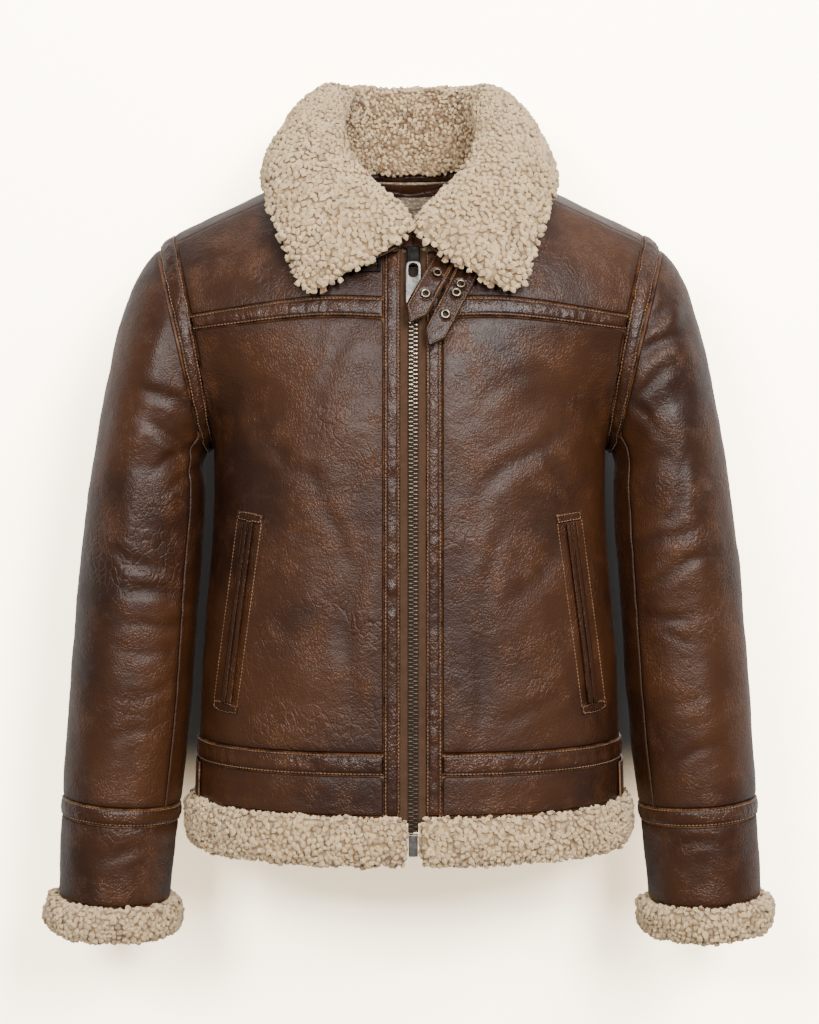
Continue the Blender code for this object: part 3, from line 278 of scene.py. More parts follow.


# ---- leather: the finish that every leather piece takes -----------------------------------------
# Sheepskin with its wool inside, waxed brown. The wax shifts where the hide is bent, so it is paler
# on bends and rubbed to orange along each seam. The hollows of its folds are painted nearly black,
# as painted shade.

WAX_BROWN = (0.068, 0.0232, 0.0074)
# Dark wax, and also the colour of the painted shade in hollows and eyelet holes.
WAX_DARK_AND_SHADE = (0.028, 0.0088, 0.0038)
WAX_AMBER = (0.125, 0.043, 0.0125)
WAX_PALE = (0.150, 0.066, 0.034)
RUBBED_ORANGE = (0.33, 0.145, 0.056)


def leather_finish(name, rubbed=0.28, puckered=0.0, dark=0.0, gloss=0.0):
    """Waxed leather. `rubbed` is how much orange shows along its seams, `puckered` adds the fine
    wrinkles of a strip, `dark` deepens it and `gloss` polishes it. The piece brings its seam distance
    in millimetres, and a number that is above zero where its wax is paler and below zero where
    painted shade darkens it, in hollows and eyelet holes."""
    finish = Finish(name, Specular_IOR_Level=0.41)
    seam = finish.attribute("seam_mm")
    worn = finish.attribute("worn")
    clouds = finish.grain(7.0, 3.0, 0.55)
    patches = finish.grain(30.0, 4.0, 0.6)
    swirl = finish.node("TexNoise", out=1, Vector=finish.place(), Scale=38.0, Detail=3.0)
    drift = finish.node("VectorMath", {"operation": "SCALE"}, i0=swirl, Scale=0.020)
    bent = finish.node("VectorMath", {"operation": "ADD"}, i0=finish.place((1.0, 1.0, 0.72)), i1=drift)
    creases = finish.cells(120.0, "DISTANCE_TO_EDGE", bent)
    crackle = finish.cells(310.0, "DISTANCE_TO_EDGE", bent)
    base = finish.blend(finish.steps(clouds, 0.32, 0.66), WAX_DARK_AND_SHADE, WAX_BROWN)
    base = finish.blend(finish.steps(patches, 0.45, 0.80) * 0.55, base, WAX_AMBER)
    base = finish.blend((worn * finish.steps(patches, 0.30, 0.75) * 0.55).clip(), base, WAX_PALE)
    # Painted shade: where the number is below zero, in the folds' hollows and the eyelet holes, the colour goes
    # towards near black.
    base = finish.blend((worn * -1.0).clip() * 0.75, base, WAX_DARK_AND_SHADE)
    where = finish.steps(finish.grain(13.0, 3.0, 0.6, finish.place((1, 1, 1), (0.7, 0.2, 0.1))), 0.52, 0.70)
    lines = finish.steps(creases, 0.006, 0.030, 1.0, 0.0) * where
    base = finish.blend((lines * 0.42).clip(), base, WAX_PALE)
    edge = finish.steps(seam, 0.2, 1.1, 1.0, 0.0)
    near = finish.steps(seam, 1.5, 10.0, 1.0, 0.0)
    rub = finish.grain(85.0, 3.0, 0.6)
    base = finish.blend((near * 0.45 + dark).clip(), base, WAX_DARK_AND_SHADE)
    base = finish.blend((edge * finish.steps(rub, 0.28, 0.66) * rubbed).clip(), base, RUBBED_ORANGE)
    pebbles = finish.cells(680.0, "SMOOTH_F1", finish.place(), 0.6)
    waves = finish.grain(60.0, 3.0, 0.55, finish.place((1.0, 1.0, 1.5), (0.3, 0.1, 0.4)), 0.9)
    puckers = finish.grain(150.0, 2.0, 0.5, finish.place((1.0, 1.0, 0.45), (0.0, 0.55, 0.0)), 0.6)
    valleys = finish.steps(creases, 0.0, 0.14, 0.0, 1.0) * (where * 0.9 + 0.05)
    small = finish.steps(crackle, 0.0, 0.22, 0.0, 1.0) * (finish.steps(patches, 0.42, 0.66) * 0.8 + 0.12)
    height = valleys * 0.36 + small * 0.27 + waves * 0.50 + pebbles * 0.17 + puckers * puckered
    bump = finish.relief(height, 0.0013, 0.9)
    groove = finish.relief(finish.steps(seam, 0.0, 1.9, 0.0, 1.0), 0.0012, 0.9, bump)
    rough = 0.34 - gloss + waves * 0.14 - (worn * 0.08) + near * 0.05
    return finish.set(Base_Color=base, Roughness=rough, Normal=groove)


LEATHER = leather_finish("waxed_leather")
STRIP_LEATHER = leather_finish("puckered_strip_leather", 0.75, 0.9, 0.12, 0.08)


def lining_finish():
    """Clipped wool on the inside of the hide."""
    finish = Finish("clipped_wool", Roughness=0.95, Sheen_Weight=0.35, Specular_IOR_Level=0.15)
    tufts = finish.cells(330.0, "SMOOTH_F1", finish.place(), 0.8)
    clumps = finish.grain(90.0, 4.0, 0.7, None, 1.2)
    # Darker between the tufts, as painted shade, and in random clumps.
    depth = finish.steps(tufts * 0.6 + clumps * 0.6, 0.25, 0.75)
    base = finish.blend(depth, (0.66, 0.55, 0.41), (0.33, 0.25, 0.165))
    bump = finish.relief(clumps * 1.0 - tufts * 0.8, 0.003, 0.8)
    return finish.set(Base_Color=base, Normal=bump)


LINING = lining_finish()


# ---- hide panels: fronts, yokes, back and hem band ---------------------------------------------
# Each is cut flat from one hide and bent round the body. The hide is thick, so it takes few, soft
# folds, and each panel's edge is turned in where the next one is sewn on.

EDGE_ANGLE = math.radians(48)  # between a wall's face and its edge
TURNED_IN = 0.0026
SEAM_LAP = 0.0050  # of a panel's turned edge under the piece beside it
MERGE = 0.00002  # points nearer than this are one
BODY_FOLD_SHARE = 0.62  # of the depths below
SLEEVE_FOLD_SHARE = 0.85

# Soft folds over the body: front (-1) or back (1), x, z, half length, half width, lean in degrees
# from upright, depth.
BODY_FOLDS = (
    (-1, -0.052, -0.395, 0.080, 0.0075, 5, 0.0022),
    (-1, -0.072, -0.300, 0.050, 0.0070, -14, 0.0016),
    (-1, -0.118, -0.235, 0.050, 0.0080, -46, 0.0022),
    (-1, -0.140, -0.300, 0.040, 0.0065, -62, 0.0016),
    (-1, -0.100, -0.515, 0.030, 0.0060, -70, 0.0012),
    (-1, -0.060, -0.150, 0.032, 0.0070, 35, 0.0014),
    (-1, 0.104, -0.245, 0.060, 0.0080, 46, 0.0024),
    (-1, 0.128, -0.330, 0.060, 0.0085, 34, 0.0022),
    (-1, 0.074, -0.345, 0.045, 0.0065, 24, 0.0016),
    (-1, 0.062, -0.455, 0.055, 0.0070, 10, 0.0018),
    (-1, 0.110, -0.470, 0.040, 0.0060, 52, 0.0014),
    (-1, 0.085, -0.185, 0.032, 0.0070, 60, 0.0015),
    (1, -0.090, -0.330, 0.070, 0.0080, -30, 0.0024),
    (1, -0.045, -0.450, 0.065, 0.0075, -8, 0.0020),
    (1, 0.070, -0.270, 0.060, 0.0080, 35, 0.0022),
    (1, 0.105, -0.400, 0.065, 0.0080, 22, 0.0020),
    (1, 0.020, -0.200, 0.040, 0.0070, 75, 0.0014),
    (1, -0.120, -0.180, 0.045, 0.0070, -55, 0.0018),
)


def trough(x, z, fold, wander, period, phase):
    """A soft fold: a trough with a low shoulder on each side, fading to its ends. Its middle line
    wanders to both sides."""
    fold_x, fold_z, half_length, half_width, lean, depth = fold
    turn = math.radians(lean)
    dx, dz = x - fold_x, z - fold_z
    along = dx * math.sin(turn) + dz * math.cos(turn)
    across = dx * math.cos(turn) - dz * math.sin(turn) + wander * np.sin(along / period + phase)
    fade = np.exp(-((along / half_length) ** 2))
    shoulder = np.exp(-(((np.abs(across) - 1.9 * half_width) / half_width) ** 2))
    return depth * (fade * (np.exp(-((across / half_width) ** 2)) - 0.35 * shoulder))


def cloudy(points, size, seed=0.0):
    """Smooth unevenness from -1 to 1 at points, with hills about `size` metres wide."""
    return np.array([noise.noise(Vector((x / size + seed, y / size, z / size))) for x, y, z in points])


def body_relief(points):
    """How far the body's leather sinks under its smooth form."""
    sunk = np.zeros(len(points))
    x, y, z = points.T
    for facing, *fold in BODY_FOLDS:
        sunk += BODY_FOLD_SHARE * trough(x, z, fold, 0.006, 0.021, fold[0] * 90) * (y * facing > 0)
    return sunk + 0.0011 * cloudy(points, 0.05) + 0.0005 * cloudy(points, 0.018, 7.0)


def merged_copy(node):
    """The node's shape as a bmesh with shared points and four-sided faces."""
    bm = bmesh.new()
    bm.from_mesh(NODES[node].data)
    bm.transform(NODES[node].matrix_world)
    bmesh.ops.remove_doubles(bm, verts=bm.verts, dist=MERGE)
    bmesh.ops.join_triangles(
        bm, faces=bm.faces, angle_face_threshold=math.radians(40), angle_shape_threshold=math.radians(60),
    )
    return bm


def face_groups(bm):
    """The faces in groups that meet without a sharp edge, largest first."""
    left, groups = set(bm.faces), []
    while left:
        group, front = [], [left.pop()]
        while front:
            face = front.pop()
            group.append(face)
            for edge in face.edges:
                if len(edge.link_faces) == 2 and edge.calc_face_angle(0.0) < EDGE_ANGLE:
                    for other in edge.link_faces:
                        if other in left:
                            left.remove(other)
                            front.append(other)
        groups.append(group)
    return sorted(groups, key=lambda group: -sum(face.calc_area() for face in group))


def body_axis(point):
    return Vector((0, 0, point.z))


def outwardness(group, axis_at):
    """Above zero for faces that look away from the middle line."""
    middles = [face.calc_center_median() for face in group]
    return sum(face.calc_area() * face.normal.dot(middle - axis_at(middle))
               for face, middle in zip(group, middles))


def smoothed(bm, levels):
    """The bmesh after Subdivision Surface, as a new bmesh."""
    mesh = bpy.data.meshes.new("smoothing")
    bm.to_mesh(mesh)
    bm.free()
    helper = bpy.data.objects.new("smoothing", mesh)
    bpy.context.collection.objects.link(helper)
    if levels:
        rounding = helper.modifiers.new("rounding", "SUBSURF")
        rounding.levels = rounding.render_levels = levels
        rounding.boundary_smooth = "PRESERVE_CORNERS"
    bpy.context.view_layer.update()
    result = bmesh.new()
    result.from_mesh(helper.evaluated_get(bpy.context.evaluated_depsgraph_get()).to_mesh())
    bpy.data.objects.remove(helper)
    bpy.data.meshes.remove(mesh)
    return result


def border_distance(points, border):
    tree = kdtree.KDTree(len(border))
    for i, point in enumerate(border):
        tree.insert(point, i)
    tree.balance()
    return np.array([tree.find(point)[2] for point in points])


def finish_piece(name, shape, material, nodes=(), body="garment"):
    """Makes the piece's object from a bmesh or a mesh, in smooth shading, and says what it rides on and
    stands for."""
    mesh = shape
    if isinstance(shape, bmesh.types.BMesh):
        mesh = bpy.data.meshes.new(name)
        shape.to_mesh(mesh)
        shape.free()
    mesh.shade_smooth()
    mesh.set_sharp_from_angle(angle=EDGE_ANGLE)
    mesh.materials.append(material)
    piece = bpy.data.objects.new(name, mesh)
    bpy.context.collection.objects.link(piece)
    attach(piece, body)
    if nodes:
        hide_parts(*nodes)
    return piece


def paint(mesh, **layers):
    """Numbers at the piece's points, for its material."""
    for key, values in layers.items():
        layer = mesh.attributes.new(key, "FLOAT", "POINT")
        layer.data.foreach_set("value", np.asarray(values, np.float32))


def points_of(shape):
    """The points of a bmesh, or of an object."""
    verts = shape.verts if isinstance(shape, bmesh.types.BMesh) else shape.data.vertices
    return np.array([v.co for v in verts])


def border_edges(bm):
    return [e for e in bm.edges if e.is_boundary]


def grow_rim(bm):
    """A new row of faces on the border, not moved yet: the row's new points."""
    made = bmesh.ops.extrude_edge_only(bm, edges=border_edges(bm))
    return [v for v in made["geom"] if isinstance(v, bmesh.types.BMVert)]


def face_front(bm):
    """Turns an open piece's faces to the front."""
    bmesh.ops.recalc_face_normals(bm, faces=bm.faces)
    if sum(face.normal.y for face in bm.faces) > 0:
        bmesh.ops.reverse_faces(bm, faces=bm.faces)


def skin_of(piece):
    """Search tree of a finished piece."""
    return BVHTree.FromObject(piece, bpy.context.evaluated_depsgraph_get())


SKINS = {}  # node name to its leather's search tree and border lines
WOOL_SIDE = bmesh.new()  # the inner faces of all the hides, sewn into one lining


def keep_faces(bm, kept):
    """The bmesh with the faces of these numbers alone."""
    bmesh.ops.delete(bm, geom=[f for f in bm.faces if f.index not in kept], context="FACES")
    return bm


def add_wool_side(bm):
    """Adds a hide's inner faces to the lining."""
    bm = smoothed(bm, 1)
    mesh = bpy.data.meshes.new("wool_side")
    bm.to_mesh(mesh)
    bm.free()
    WOOL_SIDE.from_mesh(mesh)
    bpy.data.meshes.remove(mesh)


def leather_skin(node, levels, relief, cut, axis_at=body_axis, material=LEATHER, lap=SEAM_LAP):
    """The panel's outer face, smooth and folded, with its edges turned in and lapping under the
    pieces beside it. Its inner face goes to the lining. `cut`, the flat hide's width and length, is not used."""
    bm = merged_copy(node)
    bm.faces.index_update()
    groups = face_groups(bm)[:2]
    outer = max(groups, key=lambda group: outwardness(group, axis_at))
    inner = groups[1] if outer is groups[0] else groups[0]
    area = sum(face.calc_area() for face in outer)
    add_wool_side(keep_faces(bm.copy(), {face.index for face in inner}))
    bm = smoothed(keep_faces(bm, {face.index for face in outer}), levels)
    bm.normal_update()
    points = points_of(bm)
    normals = np.array([v.normal for v in bm.verts])
    distance = border_distance(points, [v.co.copy() for v in bm.verts if v.is_boundary])
    sunk = relief(points, distance)
    for vert, point, normal, depth in zip(bm.verts, points, normals, sunk):
        vert.co = point - normal * depth
    bm.normal_update()
    SKINS[node] = (BVHTree.FromBMesh(bm), border_lines(bm))
    inward = {}
    for vert in (v for v in bm.verts if v.is_boundary):
        middle = sum((face.calc_center_median() for face in vert.link_faces), Vector()) / len(vert.link_faces)
        aside = vert.co - middle
        aside = (aside - vert.normal * aside.dot(vert.normal)).normalized()
        inward[tuple(vert.co)] = aside * lap - vert.normal * TURNED_IN
    for vert in grow_rim(bm):
        vert.co += inward[tuple(vert.co)]
    rim = np.zeros(len(bm.verts) - len(points))
    # Above zero on the raised parts, where the wax is paler; below zero in the sunk troughs of the folds, where
    # the darkening is painted shade.
    worn = np.clip(-sunk / 0.0028, -1, 1)
    piece = finish_piece(f"{node}_hide", bm, material, [node])
    paint(piece.data, seam_mm=np.concatenate([distance * 1000, rim]), worn=np.concatenate([worn, rim]))


def border_lines(bm):
    """The border of an open face as lines of points between its corners, each point with its
    normal and the direction into the face."""
    lines, seen = [], set()
    for start in (e for e in bm.edges if e.is_boundary):
        if start in seen:
            continue
        loop = start.link_loops[0]
        ring = []
        while loop.edge not in seen:
            seen.add(loop.edge)
            ring.append(loop)
            following = loop.link_loop_next
            while not following.edge.is_boundary:
                following = following.link_loop_radial_next.link_loop_next
            loop = following
        turns = []
        for before, after in zip(ring[-1:] + ring[:-1], ring):
            into = (before.link_loop_next.vert.co - before.vert.co).normalized()
            out = (after.link_loop_next.vert.co - after.vert.co).normalized()
            turns.append(into.angle(out, 0.0) > math.radians(40))
        first = turns.index(True) if True in turns else 0
        ring, turns = ring[first:] + ring[:first], turns[first:] + turns[:first]
        line = []
        for loop, corner in zip(ring, turns):
            if corner and line:
                lines.append(line + [(loop.vert.co.copy(), loop.vert.normal.copy(), line[-1][2])])
                line = []
            along = (loop.link_loop_next.vert.co - loop.vert.co).normalized()
            vert = loop.vert
            line.append((vert.co.copy(), vert.normal.copy(), vert.normal.cross(along).normalized()))
        end = ring[0].vert
        lines.append(line + [(end.co.copy(), end.normal.copy(), line[-1][2])])
    return lines


def panel_relief(points, distance):
    sunk = body_relief(points)
    seamed = np.exp(-((distance / 0.006) ** 2))
    return sunk * (1 - 0.4 * seamed) + 0.0006 * np.exp(-((distance / 0.0022) ** 2))


# Panels: node, smoothing levels, width and length of the flat cut.
PANELS = (
    ("front_lower_left", 3, 0.285, 0.430),
    ("front_lower_right", 3, 0.285, 0.430),
    ("front_yoke_left", 3, 0.205, 0.150),
    ("front_yoke_right", 3, 0.205, 0.150),
    ("back_lower", 3, 0.560, 0.430),
    ("back_yoke", 3, 0.460, 0.200),
    ("hem_panel_left", 3, 0.300, 0.037),
    ("hem_panel_right", 3, 0.300, 0.037),
    ("hem_panel_back", 3, 0.585, 0.037),
)


for node, levels, *cut in PANELS:
    leather_skin(node, levels, panel_relief, tuple(cut))


# ---- seam strips: yoke, waist, plackets -----------------------------------------------------------
# Straps of thinner leather sewn down along both edges over the joins. The sewing draws them up, so
# they pucker across between their two rows of stitches.

STRIP_ROLL = 0.0016  # how far in from its edge a strip is rolled down
STITCH_INSET = 0.0024
PUCKER_DEPTH = 0.0012
STRIP_DOME = 0.0011

# Strips: node, smoothing levels, pucker size in metres along x, y and z, width and length of the
# flat cut.
STRIPS = (
    ("yoke_strip_left", 4, (0.0052, 0.0052, 0.030), 0.190, 0.0190),
    ("yoke_strip_right", 4, (0.0052, 0.0052, 0.030), 0.190, 0.0190),
    ("yoke_strip_back", 4, (0.0056, 0.0056, 0.030), 0.470, 0.0200),
    ("waist_strip_left", 4, (0.0075, 0.0075, 0.030), 0.300, 0.0200),
    ("waist_strip_right", 4, (0.0075, 0.0075, 0.030), 0.300, 0.0200),
    ("waist_strip_back", 4, (0.0080, 0.0080, 0.030), 0.590, 0.0200),
    ("placket_left", 4, (0.022, 0.030, 0.0068), 0.0150, 0.530),
    ("placket_right", 4, (0.022, 0.030, 0.0100), 0.0150, 0.530),
)


def strip_relief(pucker, folds=body_relief):
    """The relief of a strip that lies over folds: a dome, puckered between its rows of stitches."""
    def relief(points, distance):
        between = np.clip((distance - 0.0020) / 0.0035, 0, 1)
        draw = cloudy(points / np.array(pucker), 1.0, 3.0)
        strong = np.clip(cloudy(points, 0.045, 11.0) + 0.65, 0.25, 1.0)
        roll = 0.0011 * np.clip(1 - distance / STRIP_ROLL, 0, 1) ** 2
        groove = 0.0006 * np.exp(-(((distance - STITCH_INSET) / 0.0008) ** 2))
        dome = STRIP_DOME * np.sin(np.clip(distance / 0.0085, 0, 1) * math.pi / 2)
        return folds(points) * 0.8 + PUCKER_DEPTH * between * strong * draw + roll + groove - dome
    return relief


for node, levels, pucker, *cut in STRIPS:
    leather_skin(node, levels, strip_relief(pucker), tuple(cut), material=STRIP_LEATHER,
                 lap=0.0002)


# ---- thread: the rows of stitches ------------------------------------------------------------------
# Waxed tan thread, about eight stitches to the inch. Each stitch is a short pad of thread that is
# pulled into the leather at both ends.

STITCH_PITCH = 0.0034
STITCH_LENGTH = 0.0026
STITCH_RADIUS = 0.00047


def thread_finish():
    """Waxed tan thread, with its twist as a fine slant."""
    finish = Finish("waxed_thread", Roughness=0.62, Sheen_Weight=0.2, Specular_IOR_Level=0.4)
    soiled = finish.grain(60.0, 3.0)
    twist = finish.node("TexWave", {"bands_direction": "DIAGONAL"}, Vector=finish.place(), Scale=900.0)
    base = finish.blend(finish.steps(soiled, 0.35, 0.65), (0.15, 0.068, 0.027), (0.34, 0.18, 0.080))
    return finish.set(Base_Color=base, Normal=finish.relief(twist, 0.0002, 0.5))


THREAD = thread_finish()


def form(bm):
    """The bmesh as a mesh, to be repeated."""
    mesh = bpy.data.meshes.new("form")
    bm.to_mesh(mesh)
    bm.free()
    return mesh


def numbers(collection, key, width, kind=np.float32):
    values = np.empty(len(collection) * width, kind)
    collection.foreach_get(key, values)
    return values


def strew(name, shape, spots):
    """One mesh with the shape repeated at every spot, each a four by four matrix."""
    corners = numbers(shape.vertices, "co", 3).reshape(-1, 3)
    corners = np.c_[corners, np.ones(len(corners))]
    loops = numbers(shape.loops, "vertex_index", 1, np.int32)
    starts = numbers(shape.polygons, "loop_start", 1, np.int32)
    spots = np.array([np.array(spot) for spot in spots])
    places = np.einsum("sij,vj->svi", spots[:, :3, :], corners).reshape(-1, 3)
    step = np.arange(len(spots))[:, None]
    mesh = bpy.data.meshes.new(name)
    mesh.vertices.add(len(places))
    mesh.loops.add(len(loops) * len(spots))
    mesh.polygons.add(len(starts) * len(spots))
    mesh.vertices.foreach_set("co", places.astype(np.float32).ravel())
    mesh.loops.foreach_set("vertex_index", (loops + step * len(corners)).astype(np.int32).ravel())
    mesh.polygons.foreach_set("loop_start", (starts + step * len(loops)).astype(np.int32).ravel())
    mesh.update(calc_edges=True)
    return mesh


def spot_at(place, along, normal, size):
    """Matrix that puts a form at a place: its X along, its Z out, with its three sizes."""
    side = normal.cross(along).normalized()
    along = side.cross(normal).normalized()
    turn = Matrix([axis * scale for axis, scale in zip((along, side, normal), size)]).transposed().to_4x4()
    turn.translation = place
    return turn


def walk(points, pitch, start=0.0):
    """Places along a line of points, a pitch apart: the point, the way ahead and the line's index."""
    points = [Vector(p) for p in points]
    left = start
    for i, (a, b) in enumerate(zip(points, points[1:])):
        span = (b - a).length
        while left < span:
            yield a.lerp(b, left / span), (b - a).normalized(), i
            left += pitch
        left -= span


def stitch_form():
    """One stitch, 1 long and 2 wide: a pad that is thin at its ends."""
    bm = bmesh.new()
    bmesh.ops.create_cone(bm, cap_ends=True, segments=4, radius1=0.35, radius2=0.35, depth=1.0)
    bmesh.ops.subdivide_edges(bm, edges=[e for e in bm.edges if e.calc_length() > 0.9], cuts=2)
    middle = [v for v in bm.verts if abs(v.co.z) < 0.3]
    bmesh.ops.scale(bm, verts=middle, vec=(2.8, 2.8, 1.2))
    bmesh.ops.rotate(bm, verts=bm.verts, matrix=Matrix.Rotation(math.radians(90), 3, "Y"))
    return form(bm)


STITCH = stitch_form()


def sew(points, tree, inset=0.0, into=None, pitch=STITCH_PITCH):
    """Spots of a row of stitches along a line, moved into its piece by the inset and laid on the
    leather that the tree holds."""
    spots = []
    for place, ahead, i in walk(points, pitch, pitch / 2):
        if into:
            place = place + into[i] * inset
        found, normal, _, _ = tree.find_nearest(place)
        place = found + normal * STITCH_RADIUS * 0.3
        spots.append(spot_at(place, ahead, normal, (STITCH_LENGTH, STITCH_RADIUS, STITCH_RADIUS)))
    return spots


def sew_borders(node, least=0.10, inset=STITCH_INSET):
    """Stitches inside each of the node's border lines of at least this length."""
    tree, lines = SKINS[node]
    spots = []
    for line in lines:
        if sum((b[0] - a[0]).length for a, b in zip(line, line[1:])) >= least:
            spots += sew([p for p, _, _ in line], tree, inset, [into for _, _, into in line])
    return spots


body_seams = []
for node, *_ in STRIPS:
    body_seams += sew_borders(node, 0.12)
finish_piece("body_stitches", strew("body_stitches", STITCH, body_seams), THREAD)


# ---- zip: tapes, teeth, slider, pull tab and box ----------------------------------------------------
# A heavy metal zip: two woven tapes, teeth that are clamped on in turn and worn to a warm grey, a
# blackened slider and a pressed pull tab with an oval hole.

TOOTH_PITCH = 0.0037  # between the teeth of one tape
TOOTH_SIZE = (0.0047, 0.0029, 0.0015)  # across, deep, tall
TOOTH_SHIFT = 0.0019  # of its middle from the zip's middle
CORD_HALF = 0.0046
CORD_UNDER = 0.0017  # behind the teeth's fronts
ZIP_X = 0.0033
TAPE_UNDER = 0.0018  # further under the placket than its solid
TAPE_TAIL = 0.0060  # further down, behind the fleece


def weave_finish(name, light, dark):
    """Closely woven tape: threads up and across, dyed unevenly."""
    finish = Finish(name, Roughness=0.88, Sheen_Weight=0.25, Specular_IOR_Level=0.25)
    rows, ribs = (finish.node("TexWave", {"bands_direction": way}, Vector=finish.place(), Scale=scale,
                              Distortion=0.6) for way, scale in (("Z", 500.0), ("X", 375.0)))
    uneven = finish.grain(130.0, 3.0, 0.6)
    cloth = finish.steps(rows * 0.5 + ribs * 0.3 + uneven * 0.5, 0.35, 0.95)
    base = finish.blend(cloth, dark, light)
    return finish.set(Base_Color=base, Normal=finish.relief(rows * 0.6 + ribs * 0.6, 0.0003, 0.8))


def metal_finish(name, colour, worn_colour, rough, metallic=1.0):
    """Cast metal, brushed by wear: paler and smoother in patches, with fine scratches."""
    finish = Finish(name, Specular_IOR_Level=0.5)
    wear = finish.grain(260.0, 3.0, 0.6)
    scratch = finish.grain(900.0, 2.0, 0.5, finish.place((1.0, 1.0, 0.06), (0.3, 0.2, 0.1)))
    base = finish.blend(finish.steps(wear, 0.42, 0.66), colour, worn_colour)
    roughness = rough + scratch * 0.16 - wear * 0.10
    plating = metallic - finish.steps(wear, 0.55, 0.75) * 0.06
    return finish.set(Base_Color=base, Roughness=roughness, Metallic=plating,
                      Normal=finish.relief(scratch * 0.5 + wear * 0.4, 0.0002, 0.35))


TAPE = weave_finish("zip_tape_weave", (0.135, 0.064, 0.030), (0.042, 0.019, 0.009))
# Painted shade: the cords are much darker than the tapes, for the shade that shows between the teeth.
SHADED_CORD = weave_finish("zip_cord_weave", (0.040, 0.022, 0.012), (0.012, 0.007, 0.004))
STEEL = metal_finish("polished_nickel", (0.27, 0.26, 0.245), (0.46, 0.45, 0.43), 0.30)
TEETH = metal_finish("zip_teeth_nickel", (0.25, 0.19, 0.13), (0.46, 0.36, 0.27), 0.30)
BLACKENED = metal_finish("blackened_brass", (0.004, 0.0035, 0.003), (0.012, 0.010, 0.008), 0.40, 0.85)
ANTIQUE = metal_finish("antique_brass", (0.21, 0.155, 0.095), (0.50, 0.44, 0.34), 0.30)


def soften(bm, edges, width, segments):
    """Rounds these edges of a closed piece."""
    bmesh.ops.bevel(bm, geom=edges, offset=width, segments=segments, affect="EDGES", profile=0.5, material=-1,
                    clamp_overlap=True)
    return bm


def sharp_edges(bm):
    return [e for e in bm.edges if len(e.link_faces) == 2 and e.calc_face_angle(0.0) > EDGE_ANGLE]


def rounded(node, levels, width, relief=None):
    """Closed copy of a thin solid, its edges rounded and its faces smooth."""
    bm = merged_copy(node)
    bm = smoothed(soften(bm, sharp_edges(bm), width, 2), levels)
    bm.normal_update()
    if relief:
        for vert, move in zip(bm.verts, relief(points_of(bm))):
            vert.co -= vert.normal * move
    return bm


for hand, side in (("left", 1), ("right", -1)):
    bm = rounded(f"zip_tape_{hand}", 2, 0.0003)
    low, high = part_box(f"zip_tape_{hand}")
    for vert in bm.verts:
        vert.co.x += side * TAPE_UNDER * ((vert.co.x - (low[0] + high[0]) / 2) * side > 0)
        vert.co.z -= TAPE_TAIL * (vert.co.z < low[2] + 0.002)
    finish_piece(f"zip_tape_{hand}_weave", bm, TAPE, [f"zip_tape_{hand}"])


def tooth_form():
    """A tooth, 1 each way: a block with a rounded head, its edges broken."""
    bm = bmesh.new()
    bmesh.ops.create_cube(bm, size=1.0)
    head = [v for v in bm.verts if v.co.x > 0]
    bmesh.ops.scale(bm, verts=head, vec=(1, 0.72, 0.9))
    bmesh.ops.bevel(bm, geom=bm.edges[:], offset=0.14, segments=1, affect="EDGES", profile=0.5, material=-1)
    return form(bm)


def front_of(node):
    """Search tree of a CAD node, for laying pieces on its front."""
    bm = merged_copy(node)
    tree = BVHTree.FromBMesh(bm)
    bm.free()
    return tree


def on_front(tree, x, z):
    """The point and slope of a front face at this x and z, met from the front."""
    hit, normal, _, _ = tree.ray_cast(Vector((x, -1.0, z)), Vector((0, 1, 0)))
    return hit, normal


CHAIN = front_of("zip_chain")
chain_low, chain_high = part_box("zip_chain")
pull_low, pull_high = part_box("zip_pull")
chain_end = (pull_low[2] + pull_high[2]) / 2  # above it the slider hides the teeth
teeth = []
for side in (-1, 1):
    z = chain_low[2] + 0.0012 + (side + 1) * TOOTH_PITCH / 4
    while z < chain_end:
        hit, normal = on_front(CHAIN, ZIP_X, z)
        if hit:
            across = Vector((-side, 0, 0))
            place = Vector((ZIP_X + side * TOOTH_SHIFT, hit.y, z)) - normal * TOOTH_SIZE[1] * 0.42
            size = (TOOTH_SIZE[0], TOOTH_SIZE[2], TOOTH_SIZE[1])
            teeth.append(spot_at(place, across, normal, size))
        z += TOOTH_PITCH
finish_piece("zip_teeth", strew("zip_teeth", tooth_form(), teeth), TEETH, ["zip_chain"])


def make_cord():
    """The beaded edges of both tapes, that the teeth are clamped to: a ribbon under them, woven like the tapes
    but painted near black as the shade between the teeth.
    """
    bm = bmesh.new()
    bmesh.ops.create_grid(bm, x_segments=2, y_segments=160, size=1.0)
    low, high = chain_low[2] - 0.004, chain_high[2] - 0.001
    depth = 0.0  # below the chain its end turns in, behind the fleece
    for vert in sorted(bm.verts, key=lambda v: v.co.y):
        z = low + (high - low) * (vert.co.y + 1) / 2
        hit, _ = on_front(CHAIN, ZIP_X, z)
        depth = hit.y if hit else depth
        vert.co = (ZIP_X + vert.co.x * CORD_HALF, depth + CORD_UNDER, z)
    bmesh.ops.recalc_face_normals(bm, faces=bm.faces)
    bmesh.ops.solidify(bm, geom=bm.faces[:], thickness=0.0006)
    finish_piece("zip_cords", bm, SHADED_CORD)


make_cord()

# The slider is blackened metal. The latch buckle, which lies under the collar leaf, takes the same near-black
# metal as painted shade.
for node, material in (("zip_slider", BLACKENED), ("zip_box", STEEL), ("latch_buckle", BLACKENED)):
    NODES[node].data.materials.clear()
    NODES[node].data.materials.append(material)

